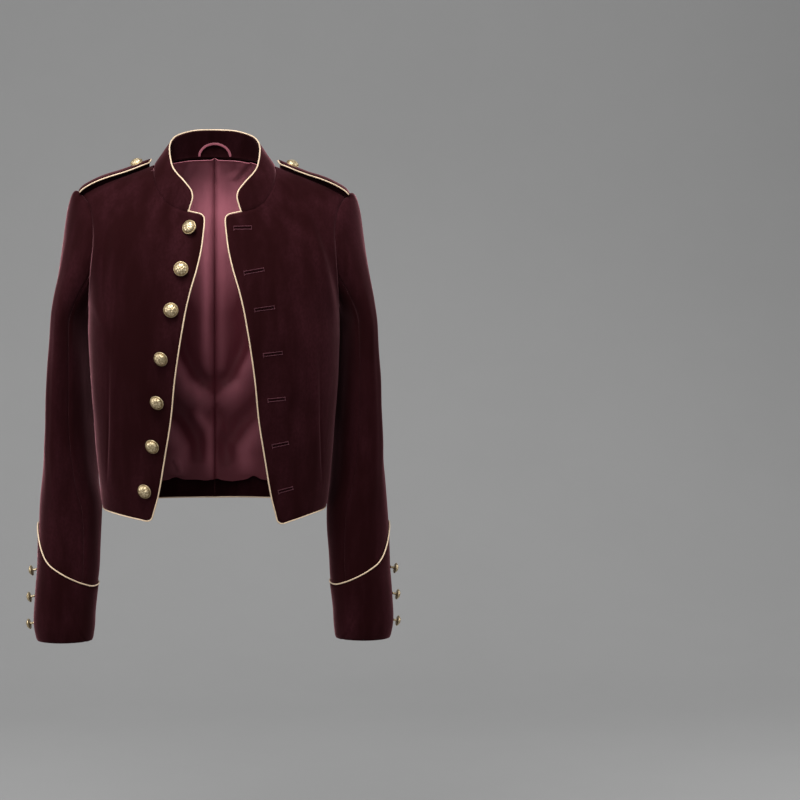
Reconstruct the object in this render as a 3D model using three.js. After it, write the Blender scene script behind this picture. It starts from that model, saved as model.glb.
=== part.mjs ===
import * as THREE from 'three';

// Cropped velvet jacket with a stand collar, shown open and filled out as if worn.
// Sizes are millimetres. X runs to the wearer's left, Y to the back and Z up. The origin is on
// the shoulder line, level with the ends of the neck opening and midway between them.
// A body angle is 0 at the centre front, 90 at the side and 180 at the centre back.
// A sleeve angle is 0 at its front, 90 at its outer side, 180 at its back and -90 inside.

// Driving sizes
const CLOTH = 1.6;            // velvet with its interlining
const COLLAR_CLOTH = 2.4;     // two layers of velvet
const STRAP_CLOTH = 3;        // two layers of velvet with a stiffener
const LINING_CLOTH = 1;
const LINING_GAP = 0.5;       // between the velvet's inside and the lining
const SEAM_GAP = 0.3;
const PIPING_RADIUS = 1.1;
const PIPING_SIDES = 6;
const PIPING_GAP = 0.6;       // between a piping and the border it follows
const STRAP_PIPING_GAP = 0.7; // the same round the strap's tight end
// Shares of its last step that a piping stops short of the one it meets
const VENT_CLEARANCE = 0.3;
const COLLAR_CLEARANCE = 0.14;
const SIDE_CLEARANCE = 0.05;
const SHOULDER_ROUND = { front: 110, back: 90 };   // height of the shoulder's rounding
const BODY_BEND = { front: 2.6, back: 2.2 };       // power of the body's rounded sections
const HEM_CORNER = { x: 87, z: -479 };             // where the front edge meets the hem
const SHOULDER_TIP_X = 185;
const CUFF_Z = -664;
const SLEEVE_END_Z = -652;
const LINING_HEM_Z = -450;

// Rows and columns of the panels' nets
const SIDE_ROWS = 10;         // from the hem up to the underarm
const CHEST_ROW = 13;
const CHEST_Z = -143;
const BLADE_Z = -130;         // the row of the shoulder blades at the centre back
const SHOULDER_COLUMNS = 5;
const SIDE_SEAM_ANGLE = 91;   // body angle of the side seam at the hem
const FRONT_HOLD = 4;         // how fast an edge's own curve fades into the front
const SHOULDER_CROWDING = 1.9;     // rows lie closer together towards the shoulder
const PROBE = { turn: 0.4, rise: 0.6 };   // steps that a surface's direction is found with

// Body sections: half width, middle, and how far the front and back stand from the middle
const BODY = [
  { z: -479, half: 153.5, middle: -12, front: 96, back: 94 },
  { z: -460, half: 157, middle: -12, front: 97, back: 94.5 },
  { z: -440, half: 158.5, middle: -12, front: 98, back: 95 },
  { z: -390, half: 163, middle: -13, front: 101, back: 98 },
  { z: -340, half: 166.5, middle: -14, front: 104, back: 102 },
  { z: -290, half: 170, middle: -15, front: 107, back: 106 },
  { z: -235, half: 172, middle: -15, front: 109, back: 109 },
  { z: -195, half: 171.5, middle: -14, front: 107, back: 109 },
  { z: -150, half: 176, middle: -11, front: 102, back: 106 },
  { z: -105, half: 184, middle: -6, front: 93, back: 98 },
  { z: -66, half: 194, middle: -2, front: 81, back: 91 },
  { z: -39, half: 200, middle: 0, front: 76, back: 88 },
  { z: 30, half: 204, middle: 0, front: 72, back: 88 },
];

// Height of the shoulder line across the body
const CREST = [
  { x: 0, z: 30 }, { x: 45, z: 19 }, { x: 83, z: -2 }, { x: 105, z: -9 },
  { x: 130, z: -17.5 }, { x: 155, z: -26.5 }, { x: 180, z: -37 }, { x: 190, z: -42 },
];

const FRONT_EDGE = [
  { z: -479, x: 87 }, { z: -440, x: 77 }, { z: -390, x: 68.5 }, { z: -340, x: 60.5 },
  { z: -285, x: 55 }, { z: -230, x: 47 }, { z: -180, x: 37.8 }, { z: -140, x: 26.5 },
  { z: -110, x: 19.5 }, { z: -67, x: 14.5 },
];

// Height of the hem round the body
const HEM = [
  { angle: 0, z: -479 }, { angle: 31, z: -477 }, { angle: 38, z: -475 },
  { angle: 51, z: -472 }, { angle: 62, z: -470.5 }, { angle: 75, z: -470 },
  { angle: 91, z: -470 }, { angle: 130, z: -473 }, { angle: 180, z: -475 },
];

// The neck seam from the front corner to the shoulder, and on to the centre back
const NECK_FRONT = [
  { x: 15.5, z: -66.5 }, { x: 37, z: -62 }, { x: 53, z: -57 }, { x: 66, z: -49 },
  { x: 76.5, z: -34 }, { x: 81.5, z: -20 }, { x: 83, z: -9.5 }, { x: 83.3, z: -5 },
  { x: 83, z: -2 },
];
const NECK_BACK = [
  { x: 83, z: -2 }, { x: 76, z: 1.5 }, { x: 57, z: 6 }, { x: 30, z: 9.3 }, { x: 0, z: 10 },
];

// The armhole from the shoulder tip down to the underarm, in body angles
const ARMHOLE_FRONT = [
  { angle: 64.6, z: -39.3 }, { angle: 60.9, z: -43 }, { angle: 56.8, z: -52 },
  { angle: 55.1, z: -66 }, { angle: 56, z: -85 }, { angle: 59.8, z: -107 },
  { angle: 65, z: -130 }, { angle: 71.3, z: -152 }, { angle: 78.2, z: -172 },
  { angle: 86, z: -188 }, { angle: 94, z: -195 },
];
const ARMHOLE_BACK = [
  { angle: 113.4, z: -39.3 }, { angle: 115.8, z: -43 }, { angle: 116.1, z: -54 },
  { angle: 115.4, z: -72 }, { angle: 114.5, z: -94 }, { angle: 113.8, z: -120 },
  { angle: 111.6, z: -148 }, { angle: 109.5, z: -163 }, { angle: 106, z: -177 },
  { angle: 100.5, z: -189 }, { angle: 94, z: -195 },
];
const PRINCESS_ROW = 6;       // the row of ARMHOLE_BACK where the princess seam starts

const PRINCESS_SEAM = [
  { z: -475, x: 104 }, { z: -436, x: 104 }, { z: -353, x: 104 }, { z: -317, x: 104.5 },
  { z: -281, x: 109 }, { z: -255, x: 115 }, { z: -237, x: 122 }, { z: -205, x: 134 },
  { z: -180, x: 147 }, { z: -148, x: 165 },
];

// Sleeve sections: centre, half thickness, half depth, and turn of the section
const SLEEVE = [
  { z: -215, x: 194.3, y: 12, thick: 23, deep: 64, turn: 15 },
  { z: -300, x: 197, y: 15, thick: 27.5, deep: 62, turn: 17 },
  { z: -390, x: 199.5, y: 14, thick: 33, deep: 58, turn: 17 },
  { z: -440, x: 200.5, y: 12, thick: 37.5, deep: 54, turn: 12 },
  { z: -480, x: 199.8, y: 9, thick: 43, deep: 50, turn: 6 },
  { z: -560, x: 203, y: 4, thick: 42, deep: 45, turn: 0 },
  { z: -620, x: 208.8, y: 1, thick: 41, deep: 42, turn: 0 },
  { z: -642, x: 209.6, y: 0, thick: 40.4, deep: 41, turn: 0 },
  { z: -664, x: 209, y: 0, thick: 37, deep: 38, turn: 0 },
];
const SLEEVE_CAP_ROWS = 6;
const SLEEVE_ROWS = 12;

// The sleeve leaves the armhole outwards and up at the shoulder tip and down at the underarm
const CAP_TIP = { tilt: 40, pull: 34 };
const CAP_UNDER = { tilt: -70, pull: 10 };
const CAP_FALL = { ease: 0.7, reach: 1.1, spread: 0.15 };
const CAP_SWELL = { height: 7.4, tilt: 40, peak: 0.75, narrow: 3 };  // the sleeve head's fullness
const FRONT_SEAM = { column: 7, angle: -33 };
const BACK_SEAM = { column: 16, angle: -207 };

// Height of the cuff's top edge round the sleeve
const CUFF_TOP = [
  { angle: -207, z: -569 }, { angle: -180, z: -576 }, { angle: -150, z: -581 },
  { angle: -120, z: -582 }, { angle: -60, z: -581 }, { angle: -30, z: -577 },
  { angle: 0, z: -568 }, { angle: 20, z: -559.5 }, { angle: 36, z: -552 },
  { angle: 48, z: -543 }, { angle: 60, z: -530 }, { angle: 75, z: -512 },
  { angle: 92, z: -501 }, { angle: 106, z: -511 }, { angle: 120, z: -530 },
  { angle: 132, z: -546 }, { angle: 145, z: -557 }, { angle: 153, z: -565 },
];
const CUFF_ROWS = 5;
const CUFF_CROWDING = 1.5;    // the cuff's rows lie closer together towards its end
const VENT_SLOT = 4.8;        // degrees of room for the piping between the cuff's two ends
const CUFF_GAP = 0.45;        // between the sleeve's end and the cuff round it

// The collar's free edge, a row for each point of the neck seam it stands on
const COLLAR_TOP = [
  { x: 29.5, y: -73, z: -38 }, { x: 43, y: -66, z: -22 }, { x: 52, y: -56, z: -13 },
  { x: 58.5, y: -44, z: -4 }, { x: 61.5, y: -32, z: 6 }, { x: 63, y: -20, z: 14 },
  { x: 63.5, y: -10, z: 19 }, { x: 63.5, y: 1, z: 23 }, { x: 61.5, y: 19, z: 29.5 },
  { x: 52, y: 35, z: 37 }, { x: 29, y: 47, z: 43.5 }, { x: 0, y: 51, z: 45 },
];
const COLLAR_ROWS = 3;

// The strap on the shoulder, from the armhole to its round end at the collar
const STRAP = [
  { x: 184.3, width: 40, lift: 0.5 }, { x: 178.5, width: 39.7, lift: 3.6 },
  { x: 165, width: 39, lift: 5.7 },
  { x: 145, width: 37.5, lift: 6 }, { x: 125, width: 36, lift: 5.2 },
  { x: 108, width: 34, lift: 5.7 }, { x: 98, width: 29, lift: 6.8 },
  { x: 91.5, width: 20, lift: 7.6 }, { x: 88.5, width: 11, lift: 8 },
];
const STRAP_CROWN = 3;        // how much higher the strap is along its middle
const STRAP_SHARES = [-1, -0.5, 0, 0.5, 1];

const BUTTON = {
  front: { diameter: 20, shank: 3.2 },
  shoulder: { diameter: 16, shank: 2.6 },
  cuff: { diameter: 15, shank: 7 },
};
const BUTTON_FACETS = 10;

// A button's profile as shares: `out` and `up` of its radius, but `up` of the shank from -1 to 0
const BUTTON_PROFILE = [
  { out: 0, up: -1 }, { out: 0.28, up: -1 }, { out: 0.28, up: 0 }, { out: 0.9, up: 0 },
  { out: 1, up: 0.18 }, { out: 0.72, up: 0.48 }, { out: 0, up: 0.66 },
];
const FRONT_BUTTONS = [
  { x: 32, z: -84 }, { x: 44, z: -137.5 }, { x: 57, z: -191 }, { x: 69.5, z: -254.5 },
  { x: 75, z: -313.5 }, { x: 81.5, z: -373.5 }, { x: 92, z: -436 },
];
const SHOULDER_BUTTON_X = 106;
const CUFF_BUTTON_TURN = { angle: 100, droop: 15 };
const CUFF_BUTTONS = [{ z: -566, gap: 0.75 }, { z: -603.5, gap: 0.6 }, { z: -641, gap: -0.3 }];

// Soft folds of the back lining: where each runs, how wide it is and how far it stands in
const LINING_FOLDS = [
  { topX: 0, lowX: 0, topZ: 0, lowZ: -450, width: 7, depth: 3 },
  { topX: -32, lowX: -62, topZ: -60, lowZ: -450, width: 22, depth: 7 },
  { topX: 30, lowX: 55, topZ: -90, lowZ: -450, width: 24, depth: 6 },
  { topX: 75, lowX: 12, topZ: -230, lowZ: -440, width: 18, depth: 6 },
];

const LOOP = {
  halfWidth: 18, foot: 11, peak: 27, y: 48.4, sweep: 2.4, band: 4.3, cloth: 1.6,
  points: 8, steps: 14,
};

const VELVET = { color: 0x3a1219, roughness: 0.85, metalness: 0 };
const SATIN = { color: 0x8a4a5a, roughness: 0.4, metalness: 0 };
const GOLD_CORD = { color: 0xc0a994, roughness: 0.45, metalness: 0.3 };
const OLD_GOLD = { color: 0xc0ac8b, roughness: 0.35, metalness: 0.9 };

const jacket = new THREE.Group();
const rad = THREE.MathUtils.degToRad;
const { clamp, lerp } = THREE.MathUtils;
const range = (count) => Array.from({ length: count }, (_, i) => i);
const vec = (x, y, z) => new THREE.Vector3(x, y, z);

// A smooth curve through a table: gives column `to` at any value of column `from`
function through(rows, from, to) {
  const sorted = [...rows].sort((a, b) => a[from] - b[from]);
  const slope = (i) => {
    const before = sorted[Math.max(i - 1, 0)];
    const after = sorted[Math.min(i + 1, sorted.length - 1)];
    return (after[to] - before[to]) / (after[from] - before[from]);
  };
  return (at) => {
    let i = 0;
    while (i < sorted.length - 2 && at > sorted[i + 1][from]) i += 1;
    const step = sorted[i + 1][from] - sorted[i][from];
    const t = clamp((at - sorted[i][from]) / step, 0, 1);
    const ends = [sorted[i][to], sorted[i + 1][to]];
    return hermite(t, ends[0], ends[1], slope(i) * step, slope(i + 1) * step);
  };
}

function hermite(t, start, end, startSlope, endSlope) {
  const rest = 1 - t;
  return start * rest * rest * (1 + 2 * t) + end * t * t * (3 - 2 * t)
    + startSlope * t * rest * rest - endSlope * t * t * rest;
}

const columns = (rows, from, names) => {
  const curves = names.map((name) => [name, through(rows, from, name)]);
  return (at) => Object.fromEntries(curves.map(([name, curve]) => [name, curve(at)]));
};

const bodyAt = columns(BODY, 'z', ['half', 'middle', 'front', 'back']);
const crestAt = through(CREST, 'x', 'z');
const frontEdgeX = through(FRONT_EDGE, 'z', 'x');
const princessX = through(PRINCESS_SEAM, 'z', 'x');
const sleeveAt = columns(SLEEVE, 'z', ['x', 'y', 'thick', 'deep', 'turn']);
const cuffTopZ = through(CUFF_TOP, 'angle', 'z');
const hemZ = through(HEM, 'angle', 'z');

// The body's outer surface at an angle and height, on the wearer's left
function bodyPoint(angle, z) {
  const part = angle <= 90 ? 'front' : 'back';
  const body = bodyAt(z);
  const power = 2 / BODY_BEND[part];
  const x = body.half * Math.sin(rad(angle)) ** power;
  const stand = body[part] * Math.abs(Math.cos(rad(angle))) ** power;
  const drop = clamp((crestAt(x) - z) / SHOULDER_ROUND[part], 0, 1);
  const fullness = Math.sqrt(1 - (1 - drop) ** 2);
  return vec(x, fullness * (body.middle + (part === 'front' ? -stand : stand)), z);
}

// The body angle at a distance from the centre line
function angleAt(x, z, part) {
  const share = clamp(Math.abs(x) / bodyAt(z).half, 0, 1);
  const angle = THREE.MathUtils.radToDeg(Math.asin(share ** (BODY_BEND[part] / 2)));
  return part === 'front' ? angle : 180 - angle;
}

// A sample of the body: its point and its outward direction, mirrored for the right side
function bodySample(side, angle, z) {
  const { turn, rise } = PROBE;
  const lower = angle <= 90 ? Math.max(angle - turn, 0.01) : Math.max(angle - turn, 90.01);
  const upper = angle <= 90 ? Math.min(angle + turn, 89.99) : Math.min(angle + turn, 179.99);
  const round = bodyPoint(upper, z).sub(bodyPoint(lower, z));
  const up = bodyPoint(angle, z + rise).sub(bodyPoint(angle, z - rise));
  const point = bodyPoint(angle, z);
  const normal = round.cross(up).normalize();
  const onCrest = crestAt(point.x) - z < 0.05;
  if (onCrest) normal.setY(0).normalize();
  if (angle === 180) normal.setX(0).normalize();
  return { point: mirrored(point, side), normal: mirrored(normal, side) };
}

const mirrored = (v, side) => vec(v.x * side, v.y, v.z);
const moved = (sample, out) => sample.point.clone().addScaledVector(sample.normal, out);
const raised = (sample, out) => ({ point: moved(sample, out), normal: sample.normal });

// A closed wall: rows of outer samples, with their inner points `cloth` behind them
function wall(rows, cloth, round = false) {
  const height = rows.length;
  const width = rows[0].length;
  const points = [0, cloth].flatMap((depth) => rows.flat().map((s) => moved(s, -depth)));
  const index = [];
  const at = (layer, row, column) => (layer * height + row) * width + (column % width);
  const quad = (a, b, c, d) => index.push(a, b, c, a, c, d);
  const lastColumn = round ? width : width - 1;
  for (let row = 0; row < height - 1; row += 1) {
    for (let column = 0; column < lastColumn; column += 1) {
      const next = column + 1;
      quad(at(0, row, column), at(0, row, next), at(0, row + 1, next), at(0, row + 1, column));
      quad(at(1, row, column), at(1, row + 1, column), at(1, row + 1, next), at(1, row, next));
    }
    if (!round) {
      for (const [column, turned] of [[0, false], [width - 1, true]]) {
        const side = [at(0, row, column), at(0, row + 1, column),
          at(1, row + 1, column), at(1, row, column)];
        quad(...(turned ? turnedOver(side) : side));
      }
    }
  }
  for (let column = 0; column < lastColumn; column += 1) {
    for (const [row, turned] of [[0, true], [height - 1, false]]) {
      const side = [at(0, row, column), at(0, row, column + 1),
        at(1, row, column + 1), at(1, row, column)];
      quad(...(turned ? turnedOver(side) : side));
    }
  }
  return faceOut(points, index);
}

// The same four corners seen from the other side, split along the same diagonal
const turnedOver = ([a, b, c, d]) => [a, d, c, b];

// A geometry from points and triangles, with its faces turned to point outwards
function faceOut(points, index) {
  const cross = new THREE.Vector3();
  let volume = 0;
  for (let i = 0; i < index.length; i += 3) {
    const [a, b, c] = index.slice(i, i + 3).map((k) => points[k]);
    volume += cross.crossVectors(b, c).dot(a);
  }
  const geometry = new THREE.BufferGeometry().setFromPoints(points);
  geometry.setIndex(volume > 0 ? index : index.reverse());
  geometry.computeVertexNormals();
  return geometry;
}

// Rows of samples drawn in at their borders by half a seam gap
function drawnIn(rows, sides = 'LRBT', amount = SEAM_GAP / 2) {
  const out = rows.map((row) => row.map((s) => ({ point: s.point.clone(), normal: s.normal })));
  const last = rows.length - 1;
  const end = rows[0].length - 1;
  const pull = (row, column, towardRow, towardColumn) => {
    const way = rows[towardRow][towardColumn].point.clone().sub(rows[row][column].point);
    out[row][column].point.addScaledVector(way.normalize(), amount);
  };
  for (let row = 0; row <= last; row += 1) {
    if (sides.includes('L')) pull(row, 0, row, 1);
    if (sides.includes('R')) pull(row, end, row, end - 1);
  }
  for (let column = 0; column <= end; column += 1) {
    if (sides.includes('B')) pull(0, column, 1, column);
    if (sides.includes('T')) pull(last, column, last - 1, column);
  }
  return out;
}

// A panel's net of body angles and heights between its four edges, each a list of pairs.
// Its upright lines run straight from the bottom to the middle row and on to the top.
function panelNet(bottom, top, left, right, middleRow, hold = 1) {
  const rows = left.length - 1;
  const cols = bottom.length - 1;
  const upright = (column, row) => {
    const middle = between(left[middleRow], right[middleRow], column / cols);
    if (row <= middleRow) return between(bottom[column], middle, row / middleRow);
    return between(middle, top[column], crowded((row - middleRow) / (rows - middleRow)));
  };
  return range(rows + 1).map((row) => range(cols + 1).map((column) => {
    const nearLeft = (1 - column / cols) ** hold;
    const nearRight = (column / cols) ** hold;
    const start = upright(0, row);
    const finish = upright(cols, row);
    return upright(column, row).map((value, k) => (
      value + nearLeft * (left[row][k] - start[k]) + nearRight * (right[row][k] - finish[k])));
  }));
}

const crowded = (share) => 1 - (1 - share) ** SHOULDER_CROWDING;
const pair = (row) => [row.angle, row.z];
const hemPair = (angle) => [angle, hemZ(angle)];
const steps = (count, make) => range(count + 1).map((i) => make(i / count));
const UNDERARM = pair(ARMHOLE_FRONT.at(-1));

function shoulderLine(part) {
  const neckX = NECK_BACK[0].x;
  return steps(SHOULDER_COLUMNS, (t) => {
    const x = lerp(neckX, SHOULDER_TIP_X, t);
    return [angleAt(x, crestAt(x), part), crestAt(x)];
  });
}

const between = (a, b, t) => [lerp(a[0], b[0], t), lerp(a[1], b[1], t)];
const SIDE_SEAM = steps(SIDE_ROWS, (t) => between(hemPair(SIDE_SEAM_ANGLE), UNDERARM, t));
const FRONT_ARMHOLE_UP = ARMHOLE_FRONT.map(pair).reverse();
const BACK_ARMHOLE_UP = ARMHOLE_BACK.slice(0, PRINCESS_ROW + 1).map(pair).reverse();
const PRINCESS_TOP = pair(ARMHOLE_BACK[PRINCESS_ROW]);
const PRINCESS_HEM = hemPair(angleAt(PRINCESS_SEAM[0].x, PRINCESS_SEAM[0].z, 'back'));
const PRINCESS_LINE = steps(SIDE_ROWS, (t) => {
  const z = lerp(PRINCESS_HEM[1], PRINCESS_TOP[1], t);
  return [t < 1 ? angleAt(princessX(z), z, 'back') : PRINCESS_TOP[0], z];
});

function frontNet() {
  const top = [
    ...NECK_FRONT.slice(0, -1).map((p) => [angleAt(p.x, p.z, 'front'), p.z]),
    ...shoulderLine('front'),
  ];
  top[top.length - 1] = pair(ARMHOLE_FRONT[0]);
  const right = [...SIDE_SEAM.slice(0, -1), ...FRONT_ARMHOLE_UP];
  const corner = angleAt(HEM_CORNER.x, HEM_CORNER.z, 'front');
  const bottom = steps(top.length - 1, (t) => hemPair(lerp(corner, SIDE_SEAM_ANGLE, t)));
  bottom[0] = [corner, HEM_CORNER.z];
  const rows = right.length - 1;
  const left = range(rows + 1).map((row) => {
    const z = row <= CHEST_ROW ? lerp(HEM_CORNER.z, CHEST_Z, row / CHEST_ROW)
      : lerp(CHEST_Z, NECK_FRONT[0].z, (row - CHEST_ROW) / (rows - CHEST_ROW));
    return [angleAt(frontEdgeX(z), z, 'front'), z];
  });
  left[0] = bottom[0];
  left[rows] = top[0];
  return panelNet(bottom, top, left, right, CHEST_ROW, FRONT_HOLD);
}

function backNet() {
  const top = [
    ...NECK_BACK.slice(1).reverse().map((p) => [angleAt(p.x, p.z, 'back'), p.z]),
    ...shoulderLine('back'),
  ];
  top[top.length - 1] = pair(ARMHOLE_BACK[0]);
  const right = [...PRINCESS_LINE.slice(0, -1), ...BACK_ARMHOLE_UP];
  const bottom = steps(top.length - 1, (t) => hemPair(lerp(180, PRINCESS_LINE[0][0], t)));
  const rows = right.length - 1;
  const left = range(rows + 1).map((row) => {
    const t = (row - SIDE_ROWS) / (rows - SIDE_ROWS);
    return [180, row <= SIDE_ROWS ? lerp(hemZ(180), BLADE_Z, row / SIDE_ROWS)
      : lerp(BLADE_Z, top[0][1], crowded(t))];
  });
  return panelNet(bottom, top, left, right, SIDE_ROWS);
}

function sideBackNet() {
  const top = ARMHOLE_BACK.slice(PRINCESS_ROW).map(pair);
  const bottom = steps(top.length - 1, (t) => (
    hemPair(lerp(PRINCESS_LINE[0][0], SIDE_SEAM_ANGLE, t))));
  return panelNet(bottom, top, PRINCESS_LINE, SIDE_SEAM, SIDE_ROWS / 2);
}

const samplesOf = (net, side) => net.map((row) => row.map(([angle, z]) => (
  bodySample(side, angle, z))));

function add(name, geometry, finish) {
  const mesh = new THREE.Mesh(geometry, new THREE.MeshStandardMaterial(finish));
  mesh.name = name;
  jacket.add(mesh);
  return mesh;
}

// A path whose steps fall on its own points, so that a cord keeps clear of what it follows
class StepPath extends THREE.CatmullRomCurve3 {
  getUtoTmapping(u) {
    return u;
  }
}

// A round cord with a step at each of its points
function cord(points) {
  const section = new THREE.Shape(range(PIPING_SIDES).map((i) => {
    const turn = (2 * Math.PI * i) / PIPING_SIDES;
    return new THREE.Vector2(PIPING_RADIUS * Math.cos(turn), PIPING_RADIUS * Math.sin(turn));
  }));
  return new THREE.ExtrudeGeometry(section, {
    extrudePath: new StepPath(points), steps: points.length - 1, curveSegments: 1,
    bevelEnabled: false,
  });
}

// The line a piping follows: just outside a wall's border, halfway through the wall.
// `border` is the border's samples and `inside` the samples next to them in the wall.
function pipingLine(border, inside, cloth, gap = PIPING_GAP) {
  return border.map((sample, i) => {
    const before = border[Math.max(i - 1, 0)].point;
    const after = border[Math.min(i + 1, border.length - 1)].point;
    const along = after.clone().sub(before).normalize();
    const out = sample.point.clone().sub(inside[i].point);
    out.addScaledVector(along, -out.dot(along)).normalize();
    return moved(sample, -cloth / 2).addScaledVector(out, PIPING_RADIUS + gap);
  });
}

// The sleeve: rings from the armhole down, each a list of samples
const RING = ARMHOLE_FRONT.length + ARMHOLE_BACK.length - 2;
const UNDER_COLUMN = ARMHOLE_FRONT.length - 1;
const SLEEVE_ANGLES = [
  { column: 0, angle: 90 }, FRONT_SEAM, { column: UNDER_COLUMN, angle: -90 }, BACK_SEAM,
  { column: RING, angle: -270 },
];
const ringAngle = (column) => {
  const next = SLEEVE_ANGLES.findIndex((row) => row.column > column);
  const [a, b] = [SLEEVE_ANGLES[next - 1], SLEEVE_ANGLES[next]];
  return lerp(a.angle, b.angle, (column - a.column) / (b.column - a.column));
};

function sleevePoint(side, angle, z) {
  const section = sleeveAt(z);
  const across = section.thick * Math.sin(rad(angle));
  const ahead = section.deep * Math.cos(rad(angle));
  const turn = rad(section.turn);
  const x = section.x + across * Math.cos(turn) + ahead * Math.sin(turn);
  const y = section.y - ahead * Math.cos(turn) + across * Math.sin(turn);
  return vec(x * side, y, z);
}

function sleeveSample(side, angle, z) {
  const round = sleevePoint(side, angle + 1, z).sub(sleevePoint(side, angle - 1, z));
  const up = sleevePoint(side, angle, z + 2).sub(sleevePoint(side, angle, z - 2));
  const normal = round.cross(up).normalize().multiplyScalar(side);
  return { point: sleevePoint(side, angle, z), normal };
}

function armholeLoop(side) {
  const front = ARMHOLE_FRONT.map(pair);
  const back = ARMHOLE_BACK.map(pair).reverse();
  return [...front, ...back.slice(1, -1)].map(([angle, z]) => bodySample(side, angle, z));
}

// A direction across the body, tilted up from level
const slanted = (side, tilt) => vec(side * Math.cos(rad(tilt)), 0, Math.sin(rad(tilt)));

// How each column of the sleeve leaves the armhole, and how full the sleeve head is there
function capStart(column, side) {
  const low = (1 - Math.cos((2 * Math.PI * column) / RING)) / 2;
  const tilt = lerp(CAP_TIP.tilt, CAP_UNDER.tilt, low ** CAP_FALL.ease);
  const leave = slanted(side, tilt).multiplyScalar(lerp(CAP_TIP.pull, CAP_UNDER.pull, low));
  const height = CAP_SWELL.height * (1 - low) ** CAP_SWELL.narrow;
  return { leave, swell: slanted(side, CAP_SWELL.tilt).multiplyScalar(height) };
}

function sleeveRings(side) {
  const loop = armholeLoop(side);
  const topZ = SLEEVE[0].z;
  const cap = range(SLEEVE_CAP_ROWS + 1).map((row) => loop.map((start, column) => {
    const t = row / SLEEVE_CAP_ROWS;
    const end = sleevePoint(side, ringAngle(column), topZ);
    const { leave, swell } = capStart(column, side);
    const reach = CAP_FALL.reach * start.point.distanceTo(end);
    const arrive = vec(side * CAP_FALL.spread, 0, -1).multiplyScalar(reach);
    const coordinate = (axis) => (
      hermite(t, start.point[axis], end[axis], leave[axis], arrive[axis]));
    const point = vec(coordinate('x'), coordinate('y'), coordinate('z'));
    return point.addScaledVector(swell, Math.sin(Math.PI * t ** CAP_SWELL.peak));
  }));
  const lower = steps(SLEEVE_ROWS, (t) => {
    const z = lerp(topZ, SLEEVE_END_Z, t);
    return range(RING).map((column) => sleeveSample(side, ringAngle(column), z));
  });
  const points = [...cap, ...lower.slice(1).map((ring) => ring.map((s) => s.point))];
  return points.map((ring, row) => ring.map((point, column) => {
    if (row === 0) {
      const out = point.clone().add(vec(side * SEAM_GAP, 0, 0));
      return { point: out, normal: loop[column].normal };
    }
    if (row > SLEEVE_CAP_ROWS) return lower[row - SLEEVE_CAP_ROWS][column];
    const before = ring[(column + RING - 1) % RING];
    const after = ring[(column + 1) % RING];
    const down = points[row + 1][column].clone().sub(points[row - 1][column]);
    const normal = before.clone().sub(after).cross(down).normalize().multiplyScalar(-side);
    return { point, normal };
  }));
}

function makeSleeve(side, sideName) {
  const rings = sleeveRings(side);
  const pick = (from, count) => rings.map((ring) => (
    range(count + 1).map((i) => ring[(from + i) % RING])));
  const under = pick(FRONT_SEAM.column, BACK_SEAM.column - FRONT_SEAM.column);
  const upper = pick(BACK_SEAM.column, RING - BACK_SEAM.column + FRONT_SEAM.column);
  add(`upper_sleeve_${sideName}`, wall(drawnIn(upper, 'LR'), CLOTH), VELVET);
  add(`under_sleeve_${sideName}`, wall(drawnIn(under, 'LR'), CLOTH), VELVET);
}

// The cuff lies on the sleeve's end, open along its vent at the back seam
function makeCuff(side, sideName) {
  const angles = range(RING + 1).map((i) => {
    const turned = ringAngle((BACK_SEAM.column + i) % RING);
    return turned + (BACK_SEAM.column + i >= RING ? 0 : 360);
  });
  angles[RING] += VENT_SLOT;
  const lift = CUFF_GAP + CLOTH;
  const rows = range(CUFF_ROWS + 1).map((row) => angles.map((angle) => {
    const top = cuffTopZ(angle);
    const z = lerp(CUFF_Z, top, (row / CUFF_ROWS) ** CUFF_CROWDING);
    return raised(sleeveSample(side, angle, z), lift);
  }));
  const drawn = drawnIn(rows, 'LR');
  add(`cuff_${sideName}`, wall(drawn, CLOTH), VELVET);
  const ventEdge = drawn.map((row) => row[0]);
  const besideVent = drawn.map((row) => row[1]);
  const topEdge = drawn.at(-1);
  const belowTop = drawn.at(-2);
  const vent = pipingLine(ventEdge, besideVent, CLOTH);
  const top = pipingLine(topEdge, belowTop, CLOTH);
  top.forEach((p, i) => p.addScaledVector(topEdge[i].normal, CLOTH / 2));
  top[RING].lerp(top[RING - 1], VENT_CLEARANCE);
  add(`piping_cuff_${sideName}`, cord([...vent, ...top]), GOLD_CORD);
}

function makeFront(side, sideName) {
  const rows = samplesOf(frontNet(), side);
  const drawn = drawnIn(rows, 'RT');
  add(`front_${sideName}`, wall(drawn, CLOTH), VELVET);
  const [below, top] = rows.slice(-2);
  const notch = pipingLine([top[1], top[0]], [below[1], below[0]], CLOTH);
  const edge = pipingLine(rows.map((row) => row[0]), rows.map((row) => row[1]), CLOTH).reverse();
  const hem = pipingLine(rows[0], rows[1], CLOTH);
  notch[0].lerp(notch[1], COLLAR_CLEARANCE);
  hem.at(-1).lerp(hem.at(-2), SIDE_CLEARANCE);
  add(`piping_front_${sideName}`, cord([...notch, ...edge, ...hem]), GOLD_CORD);
}

function makeBack(side, sideName) {
  add(`back_${sideName}`, wall(drawnIn(samplesOf(backNet(), side), 'LRT'), CLOTH), VELVET);
  add(`side_back_${sideName}`, wall(drawnIn(samplesOf(sideBackNet(), side), 'LRT'), CLOTH), VELVET);
}

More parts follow.
